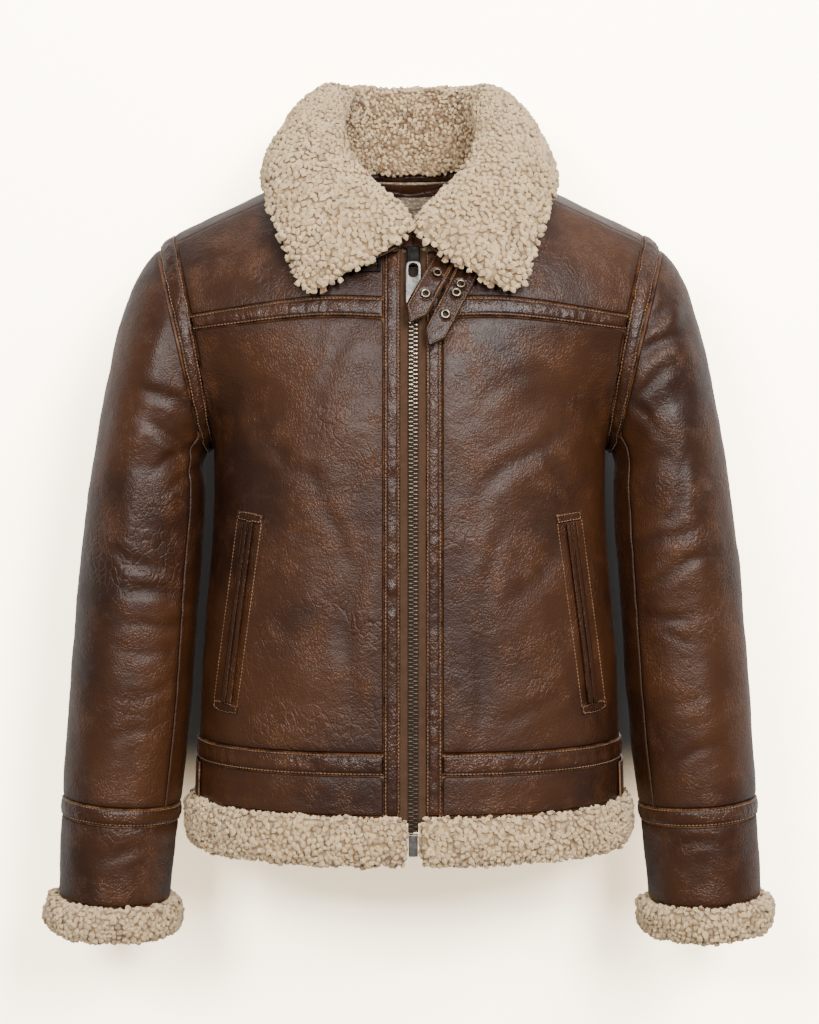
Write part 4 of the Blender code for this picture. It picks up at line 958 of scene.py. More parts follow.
PULL_TURN = Matrix.Rotation(math.radians(-14.2), 4, "X")  # its lower end leans to the front
PULL_PIN = Vector(frame["joints"][0]["pos_m"])
PULL_HALF = 0.0066  # half its width, and its ends' heights from the pin
PULL_TOP = 0.0031
PULL_LOW = -0.0386
PULL_THICK = 0.0012
HOLE_HALF = 0.0045
HOLE_TOP = 0.0013
HOLE_LOW = -0.0123
PULL_POINTS = 40


def long_round(half, low, high, power):
    """Outline of a plate in X and Z: straight sides, and ends that are squarer at a higher power."""
    middle, reach = (low + high) / 2, (high - low) / 2 - half
    points = []
    for i in range(PULL_POINTS):
        turn = 2 * math.pi * i / PULL_POINTS
        c, s = math.cos(turn), math.sin(turn)
        x = half * math.copysign(abs(c) ** (2 / power), c)
        z = middle + math.copysign(reach, s) + half * math.copysign(abs(s) ** (2 / power), s)
        points.append((x, 0.0, z))
    return points


def make_pull():
    """Pressed tab: a plate with an oval hole near its top and rounded edges."""
    bm = bmesh.new()
    loops = []
    for outline in ((PULL_HALF, PULL_LOW, PULL_TOP, 3.2), (HOLE_HALF, HOLE_LOW, HOLE_TOP, 2.2)):
        ring = [bm.verts.new(point) for point in long_round(*outline)]
        loops += [bm.edges.new(pair) for pair in zip(ring, ring[1:] + ring[:1])]
    bmesh.ops.bridge_loops(bm, edges=loops)
    bmesh.ops.recalc_face_normals(bm, faces=bm.faces)
    bmesh.ops.solidify(bm, geom=bm.faces[:], thickness=PULL_THICK)
    bmesh.ops.translate(bm, verts=bm.verts, vec=(0, -sum(v.co.y for v in bm.verts) / len(bm.verts), 0))
    bmesh.ops.recalc_face_normals(bm, faces=bm.faces)
    soften(bm, sharp_edges(bm), 0.00035, 3)
    bm.transform(Matrix.Translation(PULL_PIN) @ PULL_TURN)
    finish_piece("zip_pull_tab", bm, STEEL, ["zip_pull"], "zip_pull")


make_pull()


# ---- sleeves ---------------------------------------------------------------------------------------
# A wide upper panel and a narrow one under the arm, sewn together at the front and the back, with a
# puckered band at the armhole and another above the wrist. The sleeve creases across where it bends.

# Middle line of the left sleeve: z, x and y.
SLEEVE_MIDDLE = (
    (-0.040, 0.212, -0.002),
    (-0.120, 0.214, -0.003),
    (-0.240, 0.246, -0.006),
    (-0.425, 0.262, -0.010),
    (-0.637, 0.279, -0.014),
    (-0.700, 0.283, -0.015),
)

# Soft folds of the sleeves: the wearer's right (-1) or left (1), front (-1) or back (1), x, z, half
# length, half width, lean in degrees from upright, depth.
SLEEVE_FOLDS = (
    (-1, -1, -0.226, -0.192, 0.026, 0.0060, -58, 0.0024),
    (-1, -1, -0.222, -0.226, 0.024, 0.0050, -66, 0.0020),
    (-1, -1, -0.216, -0.246, 0.020, 0.0042, 60, 0.0014),
    (-1, -1, -0.212, -0.266, 0.018, 0.0040, 62, 0.0012),
    (-1, -1, -0.256, -0.338, 0.030, 0.0055, -62, 0.0020),
    (-1, -1, -0.236, -0.372, 0.034, 0.0058, -72, 0.0024),
    (-1, -1, -0.238, -0.400, 0.030, 0.0045, 84, 0.0018),
    (-1, -1, -0.246, -0.424, 0.030, 0.0042, -86, 0.0015),
    (-1, -1, -0.240, -0.462, 0.026, 0.0050, 78, 0.0016),
    (-1, -1, -0.252, -0.500, 0.022, 0.0045, 66, 0.0013),
    (-1, -1, -0.254, -0.612, 0.024, 0.0052, 84, 0.0016),
    (-1, -1, -0.216, -0.120, 0.034, 0.0060, 8, 0.0014),
    (1, -1, 0.229, -0.110, 0.032, 0.0062, 45, 0.0024),
    (1, -1, 0.226, -0.144, 0.034, 0.0068, 50, 0.0030),
    (1, -1, 0.222, -0.178, 0.026, 0.0056, 60, 0.0020),
    (1, -1, 0.214, -0.206, 0.022, 0.0045, -50, 0.0014),
    (1, -1, 0.246, -0.282, 0.034, 0.0050, 20, 0.0015),
    (1, -1, 0.236, -0.322, 0.032, 0.0052, 62, 0.0022),
    (1, -1, 0.258, -0.345, 0.036, 0.0052, 68, 0.0022),
    (1, -1, 0.238, -0.392, 0.030, 0.0046, 84, 0.0022),
    (1, -1, 0.242, -0.408, 0.022, 0.0040, -78, 0.0014),
    (1, -1, 0.254, -0.470, 0.026, 0.0050, 76, 0.0014),
    (1, -1, 0.262, -0.522, 0.026, 0.0048, 66, 0.0016),
    (1, -1, 0.262, -0.606, 0.022, 0.0050, 80, 0.0015),
    (-1, 1, -0.250, -0.150, 0.036, 0.0065, 52, 0.0024),
    (-1, 1, -0.238, -0.235, 0.034, 0.0060, 66, 0.0026),
    (-1, 1, -0.262, -0.300, 0.038, 0.0060, -68, 0.0024),
    (-1, 1, -0.258, -0.372, 0.040, 0.0058, 82, 0.0026),
    (-1, 1, -0.272, -0.432, 0.034, 0.0052, -80, 0.0018),
    (-1, 1, -0.264, -0.505, 0.030, 0.0056, 74, 0.0016),
    (1, 1, 0.246, -0.165, 0.038, 0.0065, -56, 0.0026),
    (1, 1, 0.244, -0.250, 0.032, 0.0060, -70, 0.0024),
    (1, 1, 0.258, -0.325, 0.040, 0.0060, 74, 0.0026),
    (1, 1, 0.266, -0.392, 0.036, 0.0056, -84, 0.0024),
    (1, 1, 0.262, -0.455, 0.030, 0.0052, 78, 0.0016),
    (1, 1, 0.272, -0.530, 0.028, 0.0054, -72, 0.0016),
)


def sleeve_axis(point):
    z, x, y = zip(*SLEEVE_MIDDLE)
    height = [-value for value in z]
    middle_x = float(np.interp(-point.z, height, x))
    middle_y = float(np.interp(-point.z, height, y))
    return Vector((math.copysign(middle_x, point.x), middle_y, point.z))


def sleeve_relief(points, distance):
    sunk = np.zeros(len(points))
    x, y, z = points.T
    for side, facing, *fold in SLEEVE_FOLDS:
        here = (x * side > 0) & ((y + 0.008) * facing > 0)
        sunk += SLEEVE_FOLD_SHARE * trough(x, z, fold, 0.004, 0.013, fold[1] * 70) * here
    uneven = 0.0012 * cloudy(points, 0.045, 5.0) + 0.0005 * cloudy(points, 0.017, 9.0)
    seamed = np.exp(-((distance / 0.005) ** 2))
    return (sunk + uneven) * (1 - 0.5 * seamed) + 0.0008 * np.exp(-((distance / 0.0024) ** 2))


def sleeve_unevenness(points):
    return 0.0010 * cloudy(points, 0.045, 5.0)


# Sleeve panels: node, smoothing levels, width and length of the flat cut.
SLEEVE_PANELS = (
    ("sleeve_top", 3, 0.330, 0.520),
    ("sleeve_under", 3, 0.150, 0.360),
    ("sleeve_end", 3, 0.400, 0.062),
)
# Bands: node, levels, pucker size, inset of the stitches, width and length of the flat cut.
SLEEVE_BANDS = (
    ("armhole_band", 3, (0.022, 0.0064, 0.0064), 0.0028, 0.570, 0.0170),
    ("sleeve_strip", 3, (0.0060, 0.0060, 0.030), 0.0024, 0.400, 0.0180),
)
for hand in ("left", "right"):
    for name, levels, *cut in SLEEVE_PANELS:
        leather_skin(f"{name}_{hand}", levels, sleeve_relief, tuple(cut), sleeve_axis)
    for name, levels, pucker, _, *cut in SLEEVE_BANDS:
        leather_skin(f"{name}_{hand}", levels, strip_relief(pucker, sleeve_unevenness), tuple(cut), sleeve_axis,
                     STRIP_LEATHER, lap=0.0004)
sleeve_seams = []
for hand in ("left", "right"):
    for name, _, _, inset, *_ in SLEEVE_BANDS:
        sleeve_seams += sew_borders(f"{name}_{hand}", 0.2, inset)
finish_piece("sleeve_stitches", strew("sleeve_stitches", STITCH, sleeve_seams), THREAD)


# ---- pockets: welts, stitched facing and bars --------------------------------------------------------
# Each pocket is a slit between two narrow welts. A facing behind it is sewn through all round, and
# the slit's ends are held by a folded bar of leather.

POCKET_TOP = (0.1463, -0.3040)  # x and z of the slit's ends
POCKET_LOW = (0.1690, -0.4700)
FACING_HALF = 0.0118  # of the stitched outline, from the slit
BAR_HALF = 0.0125
BAR_HEIGHT = 0.0085
BAR_THICK = 0.0013
WELT_SEAM = 950  # seam distance of a metre across a welt: a little rubbed all over

SLIT_RUN = np.array(POCKET_LOW) - np.array(POCKET_TOP)
SLIT_RUN = SLIT_RUN / np.linalg.norm(SLIT_RUN)
SLIT_ASIDE = np.array((-SLIT_RUN[1], SLIT_RUN[0]))

for hand in ("left", "right"):
    for edge in ("front", "rear"):
        node = f"pocket_welt_{edge}_{hand}"
        bm = rounded(node, 2, 0.0007)
        points = points_of(bm)
        across = (np.abs(points[:, [0, 2]]) * (1, -1) - POCKET_TOP) @ SLIT_ASIDE
        from_edge = np.minimum(across - across.min(), across.max() - across)
        welt = finish_piece(f"{node}_leather", bm, STRIP_LEATHER, [node])
        paint(welt.data, seam_mm=from_edge * WELT_SEAM, worn=0.4 * cloudy(points, 0.03))


def laid(tree, x, z, lift):
    """A point this far in front of the leather at x and z."""
    hit, normal = on_front(tree, x, z)
    return hit + normal * lift


def bar_shape(tree, corners):
    """A bar on the leather between four corners in x and z, its edges rolled down."""
    bm = bmesh.new()
    bmesh.ops.create_grid(bm, x_segments=24, y_segments=10, size=1.0)
    a, b, c, d = [np.array(corner) for corner in corners]
    for vert in bm.verts:
        u, v = (vert.co.x + 1) / 2, (vert.co.y + 1) / 2
        x, z = (a * (1 - u) + b * u) * (1 - v) + (d * (1 - u) + c * u) * v
        roll = min(1.0, 6 * min(u, 1 - u, 10 * v, 10 * (1 - v)))
        vert.co = laid(tree, x, z, BAR_THICK * (0.35 + 0.65 * math.sqrt(roll)) + 0.0003 * math.sin(math.pi * v))
    face_front(bm)
    for vert in grow_rim(bm):
        vert.co.y += BAR_THICK + 0.0008
    return bm


pocket_seams = []
bar_ends = {"top": np.array(POCKET_TOP) - SLIT_RUN * 0.0045, "low": np.array(POCKET_LOW) + SLIT_RUN * 0.0045}
half, tall = SLIT_ASIDE * BAR_HALF, SLIT_RUN * BAR_HEIGHT / 2
for side, hand in ((-1, "right"), (1, "left")):
    tree = SKINS[f"front_lower_{hand}"][0]
    flip = np.array((side, 1))
    for end_name, end in bar_ends.items():
        corners = [end - half - tall, end + half - tall, end + half + tall, end - half + tall]
        bm = bar_shape(tree, [corner * flip for corner in corners])
        points = points_of(bm)
        bar = finish_piece(f"pocket_bar_{end_name}_{hand}", bm, STRIP_LEATHER)
        local = points[:, [0, 2]] * flip - end
        from_edge = np.minimum(BAR_HALF - np.abs(local @ SLIT_ASIDE), BAR_HEIGHT / 2 - np.abs(local @ SLIT_RUN))
        rubbed = from_edge * 1000 + 0.4 + 0.5 * cloudy(points, 0.005)
        paint(bar.data, seam_mm=rubbed, worn=0.3 * cloudy(points, 0.02))
        skin = skin_of(bar)
        corners = [end + half * 0.86 * a + tall * 0.7 * b for a, b in ((-1, -1), (1, -1), (1, 1), (-1, 1))]
        line = [on_front(skin, *(corner * flip))[0] for corner in corners]
        pocket_seams += sew(line + line[:1], skin)
    top, low = bar_ends.values()
    for away in (-FACING_HALF, FACING_HALF):
        line = [laid(tree, *((top + (low - top) * s + SLIT_ASIDE * away) * flip), 0.0)
                for s in np.linspace(0.02, 0.98, 40)]
        pocket_seams += sew(line, tree)
finish_piece("pocket_stitches", strew("pocket_stitches", STITCH, pocket_seams), THREAD)


# ---- side tabs ----------------------------------------------------------------------------------------
# A short tab round each side seam of the hem band, its ends stitched down.

for hand in ("left", "right"):
    node = f"side_tab_{hand}"
    bm = rounded(node, 2, 0.0006)
    points = points_of(bm)
    low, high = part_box(node)
    edge = np.minimum.reduce([points[:, 2] - low[2], high[2] - points[:, 2], np.abs(points[:, 1] - low[1]),
                              np.abs(high[1] - points[:, 1])])
    tab = finish_piece(f"{node}_leather", bm, STRIP_LEATHER, [node])
    paint(tab.data, seam_mm=np.clip(edge * 1000, 0.3, 30), worn=0.3 * cloudy(points, 0.02))


# ---- lining --------------------------------------------------------------------------------------------
# The wool side of all the hides, clipped short. It shows at the neck, the hem and the wrists.

finish_piece("wool_inside", WOOL_SIDE, LINING)


# ---- throat straps, their eyelets and the latch ------------------------------------------------------
# Two pointed straps hang from under the wearer's left collar leaf: two layers of leather, sewn near
# their painted edges, with antique brass eyelets pressed through. Under the other leaf hangs the
# buckle that they fasten to.

STRAP_WIDTH = 0.0215
STRAP_THICK = 0.0026
STRAP_RELIEF = 0.0016  # thinner at the rim, clear of the pull tab's swing
STRAP_POINT = 0.0125  # length of the pointed end
STRAP_SEWING = 0.0021  # in from the edge
STRAP_OUT = Vector((0, -1, 0.2)).normalized()  # the way a strap's face looks
EYELET_OUT = 0.0044
EYELET_HOLE = 0.0023
# Node, x and z of the tip's middle and of the root's middle, how far each eyelet is from the tip.
STRAPS = (
    ("throat_strap_upper", (0.0003, -0.1235), (0.0415, -0.0490), (0.0280, 0.0495)),
    ("throat_strap_lower", (0.0178, -0.1440), (0.0600, -0.0610), (0.0302, 0.0518, 0.0608)),
)


STRAP_LEATHER = leather_finish("strap_leather", 0.45, 0.0, 0.40, 0.08)


def strap_half(distance):
    """Half the strap's width at this distance from its tip."""
    return STRAP_WIDTH / 2 * min(0.14 + 0.86 * distance / STRAP_POINT, 1.0)


def strap_front(tree, spot, run, aside):
    """How far front the solid's face is at x and z. Over an eyelet's hole, and past the solid's
    edge, it is worked out from the face around it."""
    found = []
    for reach in (0.0, 0.0036, 0.0060, 0.0090):
        for way in (run, -run, aside, -aside):
            hit, _ = on_front(tree, *(spot + way * reach))
            if hit:
                found.append(hit.y)
        if found:
            return sum(found) / len(found)


def make_strap(node, tip, root, eyelets):
    """A strap from its tip to its root, with a hole at each eyelet. Gives its stitches' spots."""
    tree = front_of(node)
    tip, root = np.array(tip), np.array(root)
    length = float(np.linalg.norm(root - tip))
    run = (root - tip) / length
    aside = np.array((run[1], -run[0]))

    def to_hole(point):
        """How far a point is from the middle of the nearest hole."""
        flat = np.array((point.x, point.z)) - tip
        return min(math.hypot(flat @ run - eyelet, flat @ aside) for eyelet in eyelets)

    bm = bmesh.new()
    bmesh.ops.create_grid(bm, x_segments=36, y_segments=128, size=1.0)
    inset = {}
    for vert in bm.verts:
        distance = (vert.co.y + 1) / 2 * length
        across = vert.co.x * strap_half(distance)
        x, z = tip + run * distance + aside * across
        hit = Vector((x, strap_front(tree, np.array((x, z)), run, aside), z))
        edge = min(strap_half(distance) - abs(across), distance + 0.0006)
        inset[vert] = edge
        roll = 0.0009 * max(0.0, 1 - edge / 0.0013) ** 2
        groove = 0.00035 * math.exp(-(((edge - STRAP_SEWING) / 0.0006) ** 2))
        pressed = 0.0
        for eyelet in eyelets:
            away = math.hypot(distance - eyelet, across)
            pressed += 0.0009 * math.exp(-((away / 0.0052) ** 4))
            pressed -= 0.0003 * math.exp(-(((away - 0.0068) / 0.0012) ** 2))
        dome = 0.0005 * (1 - (across / (STRAP_WIDTH / 2)) ** 2)
        soft = 0.0004 * noise.noise(Vector((x, 0.0, z)) * 90)
        vert.co = hit + STRAP_OUT * (dome + soft - roll - groove - pressed)
    holes = [face for face in bm.faces if to_hole(face.calc_center_median()) < EYELET_HOLE + 0.0004]
    bmesh.ops.delete(bm, geom=holes, context="FACES")
    face_front(bm)
    from_edge = np.array([inset[vert] for vert in bm.verts])
    at_hole = []
    for vert in grow_rim(bm):
        at_hole.append(to_hole(vert.co) < EYELET_OUT)
        vert.co.y += STRAP_THICK - STRAP_RELIEF
    bmesh.ops.contextual_create(bm, geom=border_edges(bm))
    strap = finish_piece(f"{node}_leather", bm, STRAP_LEATHER, [node])
    worn = 0.15 + 0.35 * cloudy(points_of(strap), 0.02, 3.0)
    # Painted shade: the walls of each eyelet hole are darkened to near black, and kept free of the orange edge.
    worn[len(from_edge):] = np.where(at_hole, -1.3, 0.0)
    paint(strap.data, seam_mm=np.concatenate([from_edge * 1000, np.where(at_hole, 9.0, 0.9)]), worn=worn)
    skin = skin_of(strap)
    line = []
    down = (length * 0.98, STRAP_POINT, STRAP_POINT * 0.3)
    for distance, side in [(d, 1) for d in down] + [(d, -1) for d in down[::-1]]:
        across = side * max(strap_half(distance) - STRAP_SEWING, 0.0006)
        x, z = tip + run * (distance + (STRAP_SEWING if distance < STRAP_POINT else 0)) + aside * across
        line.append(Vector((x, 0.0, z)))
    flat_line = []
    for a, b in zip(line, line[1:]):
        steps = max(2, int((b - a).length / 0.004))
        flat_line += [a.lerp(b, i / steps) for i in range(steps)]
    return sew([on_front(skin, p.x, p.z)[0] or p for p in flat_line], skin, pitch=0.0030)


strap_seams = []
for node, tip, root, eyelets in STRAPS:
    strap_seams += make_strap(node, tip, root, eyelets)
finish_piece("strap_stitches", strew("strap_stitches", STITCH, strap_seams), THREAD)


def make_eyelet(node):
    """Turned eyelet on the solid's own axis: a barrel, and a rim that is rolled over outwards."""
    points = np.array([NODES[node].matrix_world @ v.co for v in NODES[node].data.vertices])
    middle = points.mean(0)
    axes = np.linalg.svd(points - middle, full_matrices=False)[2]
    axis = Vector(axes[2] if axes[2][1] < 0 else -axes[2]).normalized()
    heights = (points - middle) @ np.array(axis)
    top = float(heights.max())
    profile = [(EYELET_HOLE, float(heights.min())), (EYELET_HOLE, top - 0.0007)]
    roll_middle, roll = (EYELET_HOLE + EYELET_OUT) / 2, (EYELET_OUT - EYELET_HOLE) / 2
    profile += [(roll_middle + roll * math.cos(a), top - 0.0007 + 0.0009 * math.sin(a))
                for a in np.radians(np.arange(160, -1, -20))]
    profile.append((EYELET_OUT - 0.0003, top - 0.0012))
    bm = bmesh.new()
    line = [bm.verts.new((radius, 0, height)) for radius, height in profile]
    edges = [bm.edges.new(pair) for pair in zip(line, line[1:])]
    bmesh.ops.spin(bm, geom=line + edges, cent=(0, 0, 0), axis=(0, 0, 1), angle=2 * math.pi, steps=28,
                   use_merge=True)
    bmesh.ops.remove_doubles(bm, verts=bm.verts, dist=MERGE)
    bmesh.ops.recalc_face_normals(bm, faces=bm.faces)
    bmesh.ops.solidify(bm, geom=bm.faces[:], thickness=0.00025)
    bm.transform(Matrix.Translation(middle) @ axis.to_track_quat("Z", "Y").to_matrix().to_4x4())
    finish_piece(f"{node}_rolled", bm, ANTIQUE, [node])


for node, _, _, eyelets in STRAPS:
    for number in range(1, len(eyelets) + 1):
        make_eyelet(f"{node}_eyelet_{number}")


def even(value):
    """The same value at every point."""
    return lambda points: np.full(len(points), value)


def leather_patch(name, node, bm, seam_mm=even(3.0), worn=even(0.0)):
    """A small flat leather piece in place of its solid, sewn down."""
    patch = finish_piece(name, bm, STRIP_LEATHER, [node])
    points = points_of(patch)
    paint(patch.data, seam_mm=seam_mm(points), worn=worn(points))


leather_patch("latch_tab_leather", "latch_tab", rounded("latch_tab", 2, 0.0004))


# ---- inside the neck: leather strip, half-moon and label -------------------------------------------
# A strip of leather in two rolls covers the collar's seam. Under it a half moon of clipped wool and a
# small bare patch of leather are sewn to the lining.

NECK_ROLL = 0.0011


def two_rolls(points):
    """The strip is sewn along its middle, so it stands in two rolls."""
    low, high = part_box("neck_strip")
    z = points[:, 2] - 0.0016 * np.abs(points[:, 0]) / 0.01
    middle = (low[2] + high[2]) / 2 - 0.0042
    return NECK_ROLL * np.exp(-(((z - middle) / 0.0012) ** 2)) + 0.0004 * cloudy(points, 0.012)


leather_patch("neck_strip_leather", "neck_strip", rounded("neck_strip", 2, 0.0010, two_rolls),
              even(6.0), even(0.1))
moon = finish_piece("neck_moon_wool", rounded("neck_moon_patch", 2, 0.0006), LINING,
                    ["neck_moon_patch"])
leather_patch("label_leather", "label_patch", rounded("label_patch", 2, 0.0004),
              lambda points: 3.5 + 3.0 * cloudy(points, 0.006), lambda points: 0.3 * cloudy(points, 0.01))


# ---- fleece: collar, hem and cuffs ----------------------------------------------------------------
# Curly lamb's wool, about a centimetre deep. It stands in small bent locks that cover the hide. They
# are fine in the middle of the collar, and larger and rounder along its free edge, where the wool
# hangs over the leather.

FLEECE_INSET = 0.0023  # of the wool's bed under the tips of its locks
LUMP = 0.0010  # heights of the bed's small and large unevenness
HILL = 0.0024
BED_SHADING = (0.46, 0.27)  # the bed's paleness, kept low as painted shade under the locks, and how much paler its raised lumps are painted
NECK_SHADE_SHARE = 0.34  # how much of its paleness the wool loses deep in the neck, as painted shade
LOCK_LONG = (1.5, 2.35)  # of the gap between locks
LOCK_WIDE = (1.00, 1.35)
LOCK_FLAT = (0.75, 0.95)  # of its width
EDGE_LONG = -0.10  # how much longer the locks at the free edge are, and how much wider
EDGE_WIDE = 0.15
FINE_GAP = 0.0029
EDGE_GAP = 0.0013  # more than the fine gap
HEM_GAP = 0.0038
NECK_OVAL = 1.15  # how many times as wide as deep the neck is
DROOP = Vector((0.0, -0.0016, -0.0085))  # of the wool below the leather at the collar's points


def fleece_finish(name, strands):
    """Cream wool, each lock a little other. Each is painted warm and dark at its root and underside and pale at
    its tip and top: painted shade and light.
    """
    finish = Finish(name, Roughness=0.92, Sheen_Weight=0.45, Sheen_Roughness=0.55, Specular_IOR_Level=0.18)
    tip = finish.attribute("tip")
    shade = finish.attribute("shade")
    clouds = finish.grain(26.0, 3.0, 0.6)
    shading_and_tone = finish.steps(tip + shade * 0.40, 0.16, 0.92)
    base = finish.blend(shading_and_tone, (0.20, 0.105, 0.045), (0.87, 0.625, 0.340))
    warm = finish.blend(finish.steps(clouds, 0.38, 0.68) * 0.40, base, (0.66, 0.44, 0.222))
    pale = finish.blend((finish.steps(shade, 0.15, 0.95) * 0.45).clip(), warm, (0.96, 0.755, 0.455))
    hairs = finish.grain(1900.0, 2.0, 0.6, finish.place((1, 1, 1), (0.5, 0.3, 0.2)), 1.6)
    curl = finish.cells(520.0, "SMOOTH_F1", finish.place(), 0.5)
    normal = finish.relief(hairs * 0.5 + curl * strands, 0.0009, 0.75)
    return finish.set(Base_Color=pale, Normal=normal)


FLEECE = fleece_finish("curly_fleece", 0.7)
FLEECE_BED = fleece_finish("fleece_bed", 1.2)
rng = np.random.default_rng(7)
noise.seed_set(7)  # the swirl of the locks starts from the clock otherwise


def lock_form(bend, lean):
    """One lock, 1 long: a swollen drop that bends over from its root and hooks back at its tip."""
    bm = bmesh.new()
    bmesh.ops.create_uvsphere(bm, u_segments=5, v_segments=4, radius=0.5)
    bmesh.ops.rotate(bm, verts=bm.verts, matrix=Matrix.Rotation(math.radians(90), 3, "Y"))
    for vert in bm.verts:
        t = vert.co.x + 0.5
        swell = 0.72 + 0.55 * math.sin(math.pi * min(t * 1.05, 1.0) ** 0.8)
        vert.co.y *= swell
        vert.co.z *= swell
        vert.co.z += bend * math.sin(math.pi * t * 0.86) - 0.10
        vert.co.y += lean * (t - 0.4) ** 2
    return form(bm)


LOCKS = [lock_form(0.34, 0.5), lock_form(0.22, -0.6), lock_form(0.42, 0.1), lock_form(0.28, -0.1)]


def nowhere(place):
    return 0.0


def spaced(tris, areas, normals, spacing, tries):
    """Points on triangles, no two nearer than the spacing at that point, with normals and spacings."""
    picks = rng.choice(len(tris), size=tries, p=areas / areas.sum())
    u, v = rng.random(tries), rng.random(tries)
    over = u + v > 1
    u[over], v[over] = 1 - u[over], 1 - v[over]
    a, b, c = tris[picks, 0], tris[picks, 1], tris[picks, 2]
    points = a + (b - a) * u[:, None] + (c - a) * v[:, None]
    gaps = spacing(points)
    cell = float(gaps.max())
    grid, chosen = {}, []
    for i, point in enumerate(points):
        home = tuple((point // cell).astype(int))
        near = (grid.get((home[0] + dx, home[1] + dy, home[2] + dz), ())
                for dx in (-1, 0, 1) for dy in (-1, 0, 1) for dz in (-1, 0, 1))
        if all(np.dot(points[j] - point, points[j] - point) > gaps[i] ** 2 for group in near for j in group):
            grid.setdefault(home, []).append(i)
            chosen.append(i)
    return points[chosen], normals[picks[chosen]], gaps[chosen]


def fleece_piece(node, name, flow, spacing, tries, hidden, edge_of=nowhere, deep_of=nowhere,
                 droop=nowhere):
    """The bed of a fleece solid and the locks on it, except where it is hidden. flow gives the way
    that the locks lie at a point and spacing the gap between them. From 0 to 1, edge_of gives how
    near it is to the free edge, deep_of how far painted shade darkens it and droop how far it hangs."""
    bm = smoothed(merged_copy(node), 2)
    bm.normal_update()
    points = points_of(bm)
    lumps = LUMP * (cloudy(points, 0.0062, 2.0) + 0.5 * cloudy(points, 0.0031, 4.0))
    hills = HILL * cloudy(points, 0.017, 6.0)
    for vert, lump, hill in zip(bm.verts, lumps, hills):
        vert.co += DROOP * droop(vert.co) - vert.normal * (FLEECE_INSET - lump - hill)
    bmesh.ops.triangulate(bm, faces=bm.faces)
    bm.normal_update()
    tris = np.array([[v.co for v in face.verts] for face in bm.faces])
    normals = np.array([face.normal for face in bm.faces])
    areas = np.array([face.calc_area() for face in bm.faces]) * ~hidden(tris.mean(1), normals)
    # Painted shade: deep in the neck the wool is painted darker.
    neck_shade = np.array([deep_of(point) for point in points]) * NECK_SHADE_SHARE
    bed = finish_piece(f"{name}_bed", bm, FLEECE_BED, [node])
    # Painted shade and light: the bed under the locks is darker than their tips, paler on its raised lumps, and
    # darker still deep in the neck.
    paint(bed.data, tip=BED_SHADING[0] + BED_SHADING[1] * lumps / LUMP - neck_shade, shade=np.zeros(len(neck_shade)))
    places, out, gaps = spaced(tris, areas, normals, spacing, tries)
    spots = [[] for _ in LOCKS]
    neck_shades = [[] for _ in LOCKS]
    for place, normal, gap in zip(places, out, gaps):
        normal = Vector(normal)
        swirl = noise.noise_vector(Vector(place) / 0.011) * 1.5
        way = Vector(flow(place)) + swirl + Vector(rng.normal(0, 0.25, 3))
        way = way - normal * way.dot(normal)
        lift = rng.uniform(0.0, 0.50)
        along = (way.normalized() + normal * lift).normalized()
        up = (normal - along * normal.dot(along)).normalized()
        near_edge = edge_of(place)
        long = gap * rng.uniform(*LOCK_LONG) * (1 + EDGE_LONG * near_edge)
        wide = gap * rng.uniform(*LOCK_WIDE) * (1 + EDGE_WIDE * near_edge)
        kind = int(rng.integers(len(LOCKS)))
        neck_shades[kind].append(deep_of(place) * NECK_SHADE_SHARE)
        middle = Vector(place) + normal * (gap * rng.uniform(0.0, 0.30))
        middle += along * long * (0.08 + 0.30 * near_edge)
        spots[kind].append(spot_at(middle, along, up, (long, wide, wide * rng.uniform(*LOCK_FLAT))))
    for kind, (lock, group) in enumerate(zip(LOCKS, spots)):
        mesh = strew(f"{name}_locks_{kind + 1}", lock, group)
        finish_piece(mesh.name, mesh, FLEECE)
        reach = numbers(lock.vertices, "co", 3).reshape(-1, 3)
        # Painted shade and light: each lock is darker at its root and on its underside, and paler towards its
        # tip and its top.
        tip = np.clip(0.30 + reach[:, 0] * 0.55 + (reach[:, 2] - reach[:, 2].min()) * 0.75, 0, 1)
        shades = rng.uniform(-1, 1, len(group))
        tips = np.tile(tip, len(group)) - np.repeat(neck_shades[kind], len(reach))
        paint(mesh, tip=tips, shade=np.repeat(shades, len(reach)))


COLLAR_LEATHER_TREE = front_of("collar_leather")


def collar_underside(points, normals):
    """The fleece's back, which lies on the collar's leather."""
    hidden = []
    for point, normal in zip(points, normals):
        found, _, _, distance = COLLAR_LEATHER_TREE.find_nearest(Vector(point))
        toward = (found - Vector(point)).normalized()
        hidden.append(distance < 0.0075 and toward.dot(Vector(normal)) > 0.5)
    return np.array(hidden)


def collar_flow(point):
    """The locks lie down and away from the neck."""
    x, y, z = point
    return (x * 5.0, y * 3.0 - 0.2, -0.75)


def neck_radius(x, y):
    """How far out from the middle of the neck, which is an oval."""
    return np.hypot(x / NECK_OVAL, y)


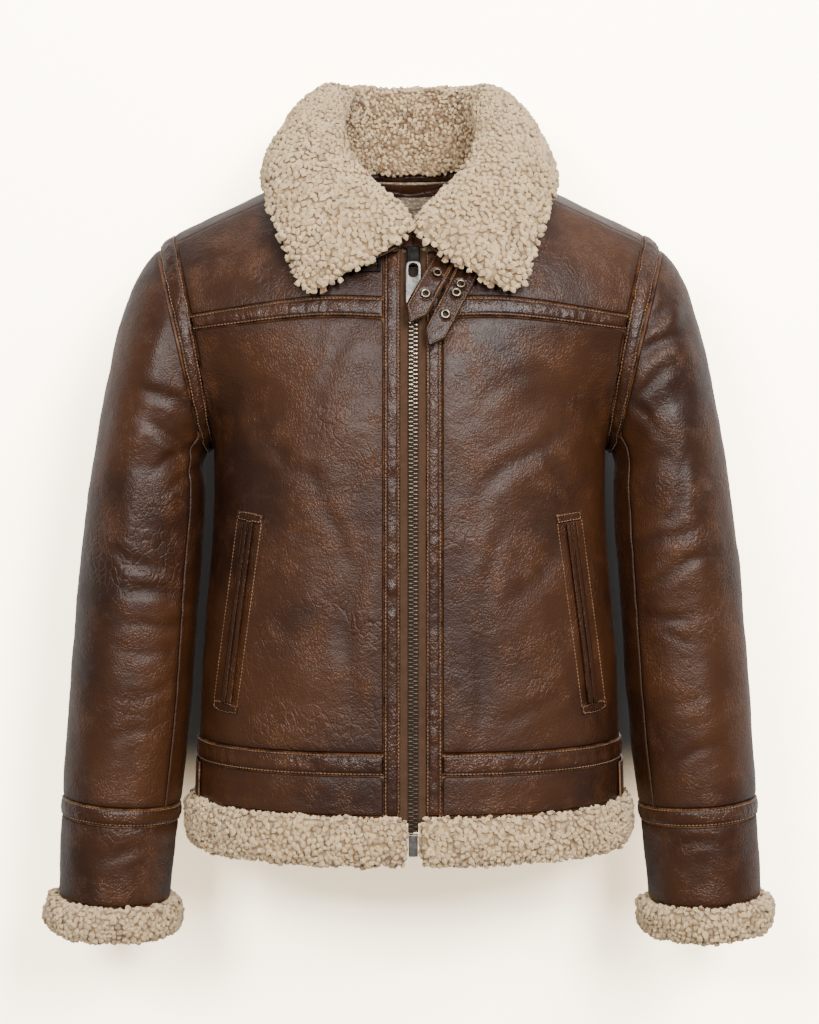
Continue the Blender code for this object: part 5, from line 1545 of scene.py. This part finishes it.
def collar_edge(place):
    """How near a point of the fleece is to the collar's free edge, where the leather ends."""
    if neck_radius(place[0], place[1]) < 0.075:
        return 0.0
    reach = COLLAR_LEATHER_TREE.find_nearest(Vector(place))[3]
    return float(np.clip((0.0095 - reach) / 0.004, 0, 1))


def collar_droop(place):
    """The wool of the two leaves hangs over the leather's edge, most at their points."""
    return float(np.clip((-0.045 - place[2]) / 0.035, 0, 1) * np.clip(-place[1] / 0.04, 0, 1))


def collar_deep(place):
    """How far the wool deep inside the back of the neck is painted darker, as painted shade."""
    inside = np.clip((0.088 - neck_radius(place[0], place[1])) / 0.016, 0, 1)
    return float(inside * np.clip((place[1] - 0.004) / 0.03, 0, 1))


def collar_spacing(points):
    """Fine locks in the middle of the leaves and inside the neck, larger towards the free edge."""
    x, y, z = points.T
    edge = np.clip((neck_radius(x, y) - 0.070) / 0.045, 0, 1)
    return FINE_GAP + EDGE_GAP * edge + 0.0006 * np.sin(x * 210 + z * 160) * 0.6


def hang_down(point):
    return (0, 0, -0.8)


def hem_spacing(points):
    x, y, z = points.T
    return HEM_GAP + 0.0006 * np.sin(x * 190 + y * 150 + z * 230)


def inner_side(axis_at):
    """Faces that look towards the body, which the lining's wool covers."""
    def hidden(points, normals):
        return np.array([Vector(n).dot((Vector(p) - axis_at(Vector(p))).normalized()) < -0.6
                         for p, n in zip(points, normals)])
    return hidden


collar_hide = finish_piece("collar_hide", rounded("collar_leather", 1, 0.0004), LEATHER,
                           ["collar_leather"])
points = points_of(collar_hide)
paint(collar_hide.data, seam_mm=np.full(len(points), 12.0), worn=0.4 * cloudy(points, 0.03))
fleece_piece("collar_fleece", "collar", collar_flow, collar_spacing, 90000, collar_underside,
             collar_edge, collar_deep, collar_droop)

for part, tries, length in (("left", 11000, 0.250), ("right", 11000, 0.250), ("back", 22000, 0.540)):
    fleece_piece(f"hem_fleece_{part}", f"hem_{part}", hang_down, hem_spacing, tries,
                 inner_side(body_axis))
for hand in ("left", "right"):
    fleece_piece(f"cuff_fleece_{hand}", f"cuff_{hand}", hang_down, hem_spacing, 15000,
                 inner_side(sleeve_axis))
